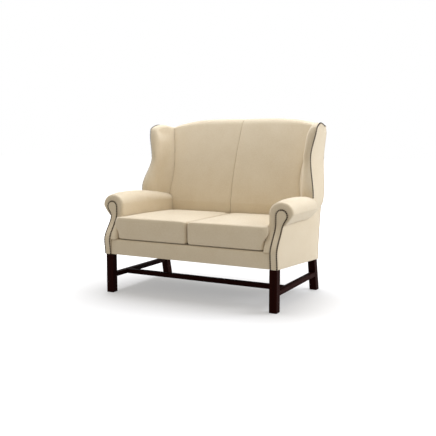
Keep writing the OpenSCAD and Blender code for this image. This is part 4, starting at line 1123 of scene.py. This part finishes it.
# A dome at each point, turned to its normal
def nailRow(name, node, points, normals, side):
    verts, quads, tris = domeShape()
    z = normals / np.linalg.norm(normals, axis=1, keepdims=True)
    x = np.cross(np.array(nail["askew"]), z)
    x = x / np.linalg.norm(x, axis=1, keepdims=True)
    basis = np.stack([x, np.cross(z, x), z], 1)
    domes = place(points[:, None, :] + np.einsum("vk,nkc->nvc", verts, basis), side)
    shift = (np.arange(len(points)) * len(verts))[:, None, None]
    faces = (quads + shift).reshape(-1, 4).tolist() + (tris + shift).reshape(-1, 3).tolist()
    dress(addPiece(name, domes.reshape(-1, 3), faces, weld=False), bronze, [node])


# Even steps along a line of many points, with the line's direction at each
def walk(line, pitch):
    gone = runLength(line)
    share = np.linspace(0, 1, int(gone[-1] // pitch) + 1)
    at = share * gone[-1]
    points, ahead, behind = (np.stack([np.interp(np.clip(at + step, 0, gone[-1]), gone, line[:, i])
        for i in range(3)], -1) for step in (0, 1, -1))
    return points, ahead - behind, share


# Nail line of the facing: up the strip, round the scroll and down along the neck
def facingPath():
    foot, r = size["legHeight"] + size["nailWidth"] / 2, size["scrollRadius"]
    rise = np.linspace(foot, headZ, nail["lineSteps"])
    turn = np.radians(np.arange(177, -nail["neckTurn"] - 1, -3.0))
    fall = np.linspace(headZ - r * math.sin(math.radians(nail["neckTurn"])) - 1, foot, nail["lineSteps"])
    x = np.concatenate([facingIn + nailInset + 0 * rise, headX + r * np.cos(turn), neckX(fall) - nailInset])
    z = np.concatenate([rise, headZ + r * np.sin(turn), fall])
    return stack(x, frontY(z), z)


# Both nail rows of a side. Those of the wings stand at right angles to their line, tilted forward
def makeNails(side, tail):
    points, _, _ = walk(facingPath(), size["nailPitch"])
    slope = (frontY(points[:, 2] + 1) - frontY(points[:, 2] - 1)) / 2
    normals = stack(0 * slope, -1 + 0 * slope, slope)
    at = points + normals * nail["lift"]
    nailRow("facingNails" + tail, "facing_nails_" + tail.lower(), at, normals, side)
    first, last = 1 / wing["steps"], 1 - 1 / wing["steps"]
    points, along, share = walk(wingEdge(np.linspace(first, last, nail["wingSteps"])), size["nailPitch"])
    way = edgeWay(mix(first, last, share))
    normals = np.cross(along, -way)
    normals = normals * np.sign(normals[:, :1])
    normals = normals / np.linalg.norm(normals, axis=1, keepdims=True) + way * nail["tilt"]
    at = points + normals * nail["wingLift"]
    nailRow("wingNails" + tail, "wing_nails_" + tail.lower(), at, normals, side)


for side, tail in sides:
    makeNails(side, tail)
print("nails set")


# Loose seat cushions: sewn box forms, blown up by a short cloth simulation held at their seams
cushion = {
    "across": 52, "corner": 0.1, "startCrown": 7.0, "topRise": 11.0, "frontSwell": 3.5, "frames": 20,
    "seamPinch": 1.4, "uneven": 0.9, "ripple": 75.0, "lug": 29.0, "lugReach": 15.0, "lugFrom": 365.0,
    "lugOver": 38.0, "lugTop": 440.0, "lugTopOver": 36.0, "dip": 6.0, "dipWidth": 20.0,
    "middle": (245.0, 290.0), "frontBy": 20.0, "rearFrom": 560.0, "rearShare": 0.4, "swellHalf": 450.0,
    "domePower": 3.6, "domeShare": 0.25,
}
# share of the half width and share of the wall's height, from the lower seam to the top one
wallShares = np.array([
    [0.952, 0.032], [0.968, 0.036], [0.983, 0.047], [0.993, 0.075], [0.999, 0.13],
    [1.0, 0.24], [1.0, 0.44], [1.0, 0.57], [1.0, 0.69], [0.998, 0.79],
    [0.995, 0.87], [0.991, 0.925], [0.986, 0.965], [0.981, 0.99], [0.977, 1.0],
])
stuffing = {
    "quality": 5, "mass": 0.3, "tension_stiffness": 18, "compression_stiffness": 18,
    "shear_stiffness": 6, "bending_stiffness": 1.2, "use_pressure": True, "uniform_pressure_force": 4.0,
    "vertex_group_mass": "hold",
}


# A square's outline with its corners rounded: points in a corner are drawn to a circle about its centre
def softSquare(a, b):
    share = np.maximum(np.abs(a), np.abs(b))
    whole = np.maximum(share, 1e-9)
    p = np.stack([a / whole, b / whole], -1)
    inset = 1 - cushion["corner"]
    centre = np.sign(p) * inset
    off = p - centre
    outside = (np.abs(p) > inset).all(-1, keepdims=True)
    near = centre + cushion["corner"] * off / np.maximum(np.linalg.norm(off, axis=-1, keepdims=True), 1e-9)
    return np.where(outside, near, p) * share[..., None]


# Plan of the cushion: along the middle and the arm, with a front lug round the arm and a dip at the middle
def cushionPoint(q, z):
    share = (q[..., 0] + 1) / 2
    y = mix(-1.0, armRearY - 0.5, (q[..., 1] + 1) / 2)
    wide = armInX(y) - 2
    lug = cushion["lug"] * ease((frontY(z) - 4 - y) / cushion["lugReach"])
    lug = lug * ease((z - cushion["lugFrom"]) / cushion["lugOver"])
    high = ease((z - cushion["lugTop"]) / cushion["lugTopOver"])
    spread = lug * mix(1, 0.8, high) * np.maximum(0, q[..., 0]) ** 6
    height = (z - size["deckTop"]) / size["cushionHeight"]
    dip = cushion["dip"] * np.exp(-share * wide / cushion["dipWidth"]) * ease(height)
    return stack(mix(0.5, wide, share) + spread, y, z - dip)


# Sewn form: a top and a lower panel, the walls' rings between them and the lengths their cloth was cut to
def cushionForm():
    n = cushion["across"]
    b, a = np.meshgrid(np.linspace(-1, 1, n), np.linspace(-1, 1, n), indexing="ij")
    q = softSquare(a, b)
    share = np.maximum(np.abs(a), np.abs(b))
    high, inset = size["cushionHeight"], wallShares[:, 0]
    top = cushionPoint(q * inset[-1], seatZ + high + cushion["startCrown"] * (1 - share ** 2) ** 0.8)
    low = cushionPoint(q * inset[0], seatZ + high * wallShares[0, 1] * ease((share - 0.8) / 0.2))
    rim = gridRim(n, n)
    edge = q.reshape(-1, 2)[rim]
    walls = [cushionPoint(edge * w, seatZ + high * h) for w, h in wallShares[1:-1]]
    count, ring = n * n, len(rim)
    verts = np.concatenate([top.reshape(-1, 3), low.reshape(-1, 3)] + walls)
    rows = [rim + count] + [2 * count + i * ring + np.arange(ring) for i in range(len(walls))] + [rim]
    bands = [np.stack([r, np.roll(r, -1), np.roll(up, -1), up], -1) for r, up in zip(rows, rows[1:])]
    faces = np.concatenate([gridFaces(n, n), gridFaces(n, n, count)[:, ::-1]] + bands)
    # cloth lengths: each panel's own plan, and round and up the walls
    around = runLength(walls[5])
    flat = [top.reshape(-1, 3)[:, :2], low.reshape(-1, 3)[:, :2]]
    upright = [np.stack([around, w[:, 2]], -1) for w in walls]
    return verts, faces, np.concatenate(flat + upright) / 1000, rim, rows


# Short simulation: pressure from inside against cloth that is held, wholly or partly, where hold says
def blowUp(piece, hold):
    group = piece.vertex_groups.new(name="hold")
    hold = np.round(hold, 1)
    for weight in np.unique(hold[hold > 0]):
        group.add(np.nonzero(hold == weight)[0].tolist(), float(weight), "REPLACE")
    cloth = piece.modifiers.new("stuffing", "CLOTH")
    for key, value in stuffing.items():
        setattr(cloth.settings, key, value)
    cloth.settings.effector_weights.gravity = 0
    cloth.collision_settings.use_collision = False
    cloth.collision_settings.use_self_collision = False
    scene = bpy.context.scene
    for step in range(1, cushion["frames"] + 1):
        scene.frame_set(step)
    ready = piece.evaluated_get(bpy.context.evaluated_depsgraph_get())
    blown = np.zeros(len(piece.data.vertices) * 3, np.float32)
    ready.data.vertices.foreach_get("co", blown)
    piece.modifiers.remove(cloth)
    piece.vertex_groups.clear()
    scene.frame_set(1)
    return blown.reshape(-1, 3).astype(float)


# The blown form gives the swelling of top and walls, each brought to its size, and the seams are drawn in
def makeCushion(side, tail):
    verts, faces, cloth, rim, rows = cushionForm()
    n = cushion["across"] ** 2
    start = place(verts, side)
    wall = verts[2 * n:]
    hold = np.zeros(len(verts))
    hold[n:2 * n] = 1.0
    hold[np.concatenate([rim, rows[-2], rim + n])] = 1.0
    hold[2 * n:][(wall[:, 0] < 6) | (wall[:, 0] > armInX(wall[:, 1]) - 12)] = 0.9
    moved = np.zeros_like(start)
    form = addPiece("form", start, faces, weld=False)
    moved = (blowUp(form, hold) - start) * 1000
    bpy.data.objects.remove(form)
    tallest, furthest = float(moved[:n, 2].max()), float(-moved[2 * n:, 1].min())
    print("cushion " + tail, "rose", round(tallest, 1), "front", round(furthest, 1))
    # each panel's swelling is brought to its size: up on the top, forward and back on the walls
    bow = 1 - np.abs(np.linspace(-1, 1, cushion["across"])) ** cushion["domePower"]
    dome = np.outer(bow, bow).ravel()
    rise = np.clip(mix(moved[:n, 2] / tallest, dome, cushion["domeShare"]), 0, 1) if tallest > 0.5 else dome
    verts[:n, 2] += cushion["topRise"] * rise
    bulge = np.sin(np.pi * (wall[:, 2] - size["deckTop"]) / size["cushionHeight"])
    rear = np.where(wall[:, 1] > cushion["rearFrom"], cushion["rearShare"], 0)
    facingOut = np.where(wall[:, 1] < cushion["frontBy"], -1, rear)
    inside = np.sin(np.pi * np.clip((wall[:, 0] - 20) / cushion["swellHalf"], 0, 1)) ** 0.4
    push = np.clip(np.abs(moved[2 * n:, 1]) / furthest, 0, 1) if furthest > 0 else bulge
    wall[:, 1] += cushion["frontSwell"] * facingOut * mix(push, bulge, 0.5) * inside
    verts[:n, 2] += cushion["uneven"] * ripple(verts[:n], cushion["ripple"], side + 1) * dome
    # seams: the rings on both sides of each seam stand proud of the sewn line
    for ring in (rim, rim + n):
        away = verts[ring, :2] - cushion["middle"]
        verts[ring, :2] -= away / np.linalg.norm(away, axis=1, keepdims=True) * cushion["seamPinch"]
    verts[rim, 2] -= cushion["seamPinch"] * 0.6
    # painted shade along the seams and on the walls towards the gap between the cushions
    tuck = np.zeros(len(verts))
    tuck[np.concatenate([rim, rim + n])] = 0.75
    tuck[2 * n:] = np.maximum(tuck[2 * n:], 0.9 * np.exp(-wall[:, 0] / 6))
    piece = addPiece("seatCushion" + tail, place(verts, side), faces, cloth, tuck)
    smooth = piece.modifiers.new("rounding", "SUBSURF")
    smooth.levels = 1
    smooth.render_levels = 1
    tail = tail.lower()
    dress(piece, creamPile, ["seat_cushion_" + tail], body="cushion_" + tail)


for side, tail in sides:
    makeCushion(side, tail)
print("cushions blown up")


# Floor, light and camera

studio = {
    "floor": (0.55, 0.55, 0.55), "floorGlow": (0.34, 1.0), "glowFrom": 0.55, "glowTo": 2.2,
    "fill": 0.55, "fillTone": (1.0, 0.935, 0.84),
    "overhead": {
        "power": 166, "wide": 3.3, "at": (-0.6, 1.0, 4.1), "to": (0, 0, 0.5), "tint": (0.95, 0.99, 1.08),
    },
    "sideLight": {
        "power": 140, "wide": 2.6, "at": (4.0, 2.2, 2.2), "to": (0, 0, 0.6), "tint": (0.97, 1, 1.06),
    },
    "camera": (1.91364, -3.63934, 0.94114), "yaw": 27.785, "pitch": 6.712, "lens": 53.57,
}


# What the camera, gloss and glass see is added to or swapped for what lights the object
def seenRays(tree):
    path = addNode(tree, "ShaderNodeLightPath")
    both = reckon(tree, "MAXIMUM", path.outputs["Is Camera Ray"], path.outputs["Is Glossy Ray"])
    return reckon(tree, "MAXIMUM", both, path.outputs["Is Transmission Ray"])


# Pale floor: matt, with a glow that the camera sees rise from under the settee out to white
def makeFloor():
    mesh = bpy.data.meshes.new("floor")
    mesh.from_pydata([(-30, -30, 0), (30, -30, 0), (30, 30, 0), (-30, 30, 0)], [], [(0, 1, 2, 3)])
    floor = bpy.data.objects.new("floor", mesh)
    bpy.context.scene.collection.objects.link(floor)
    material = bpy.data.materials.new("paleFloor")
    material.use_nodes = True
    tree = material.node_tree
    tree.nodes.clear()
    matt = addNode(tree, "ShaderNodeBsdfDiffuse", {"Color": (*studio["floor"], 1)})
    where = addNode(tree, "ShaderNodeTexCoord").outputs["Object"]
    away = addNode(tree, "ShaderNodeVectorMath", {0: where}, operation="LENGTH").outputs["Value"]
    reach = {"From Min": studio["glowFrom"], "From Max": studio["glowTo"]}
    reach.update({"Value": away, "To Min": studio["floorGlow"][0], "To Max": studio["floorGlow"][1]})
    spread = addNode(tree, "ShaderNodeMapRange", reach, interpolation_type="SMOOTHSTEP").outputs[0]
    glow = addNode(tree, "ShaderNodeEmission", {"Strength": reckon(tree, "MULTIPLY", seenRays(tree), spread)})
    both = addNode(tree, "ShaderNodeAddShader", {0: matt.outputs[0], 1: glow.outputs[0]})
    addNode(tree, "ShaderNodeOutputMaterial", {"Surface": both.outputs[0]})
    mesh.materials.append(material)


# Warm fill light all round, seen as plain white
def makeWorld():
    world = bpy.data.worlds.new("studio")
    bpy.context.scene.world = world
    world.use_nodes = True
    tree = world.node_tree
    tree.nodes.clear()
    warm = {"Color": (*studio["fillTone"], 1), "Strength": studio["fill"]}
    fill = addNode(tree, "ShaderNodeBackground", warm)
    seen = addNode(tree, "ShaderNodeBackground", {"Color": (1, 1, 1, 1), "Strength": 1.0})
    both = addNode(tree, "ShaderNodeMixShader", {0: seenRays(tree), 1: fill.outputs[0], 2: seen.outputs[0]})
    addNode(tree, "ShaderNodeOutputWorld", {"Surface": both.outputs[0]})


# Square area lamp, turned from its place towards a point
def softBox(name, power, wide, at, to, tint):
    lamp = bpy.data.lights.new(name, "AREA")
    lamp.energy = power
    lamp.color = tint
    lamp.size = wide
    holder = bpy.data.objects.new(name, lamp)
    bpy.context.scene.collection.objects.link(holder)
    away = np.array(at) - np.array(to)
    flat = math.hypot(away[0], away[1])
    holder.location = at
    holder.rotation_euler = (math.atan2(flat, away[2]), 0, math.atan2(away[1], away[0]) + math.pi / 2)


# Camera from where the photo was taken, as its perspective gives it
def makeCamera():
    lens = bpy.data.cameras.new("camera")
    lens.lens = studio["lens"]
    lens.sensor_width = 36
    camera = bpy.data.objects.new("camera", lens)
    bpy.context.scene.collection.objects.link(camera)
    camera.location = studio["camera"]
    camera.rotation_euler = (math.radians(90 - studio["pitch"]), 0, math.radians(studio["yaw"]))
    bpy.context.scene.camera = camera


makeFloor()
makeWorld()
for name in ("overhead", "sideLight"):
    softBox(name, **studio[name])
makeCamera()
bpy.context.scene.view_settings.view_transform = "Standard"
print("floor, light and camera set")
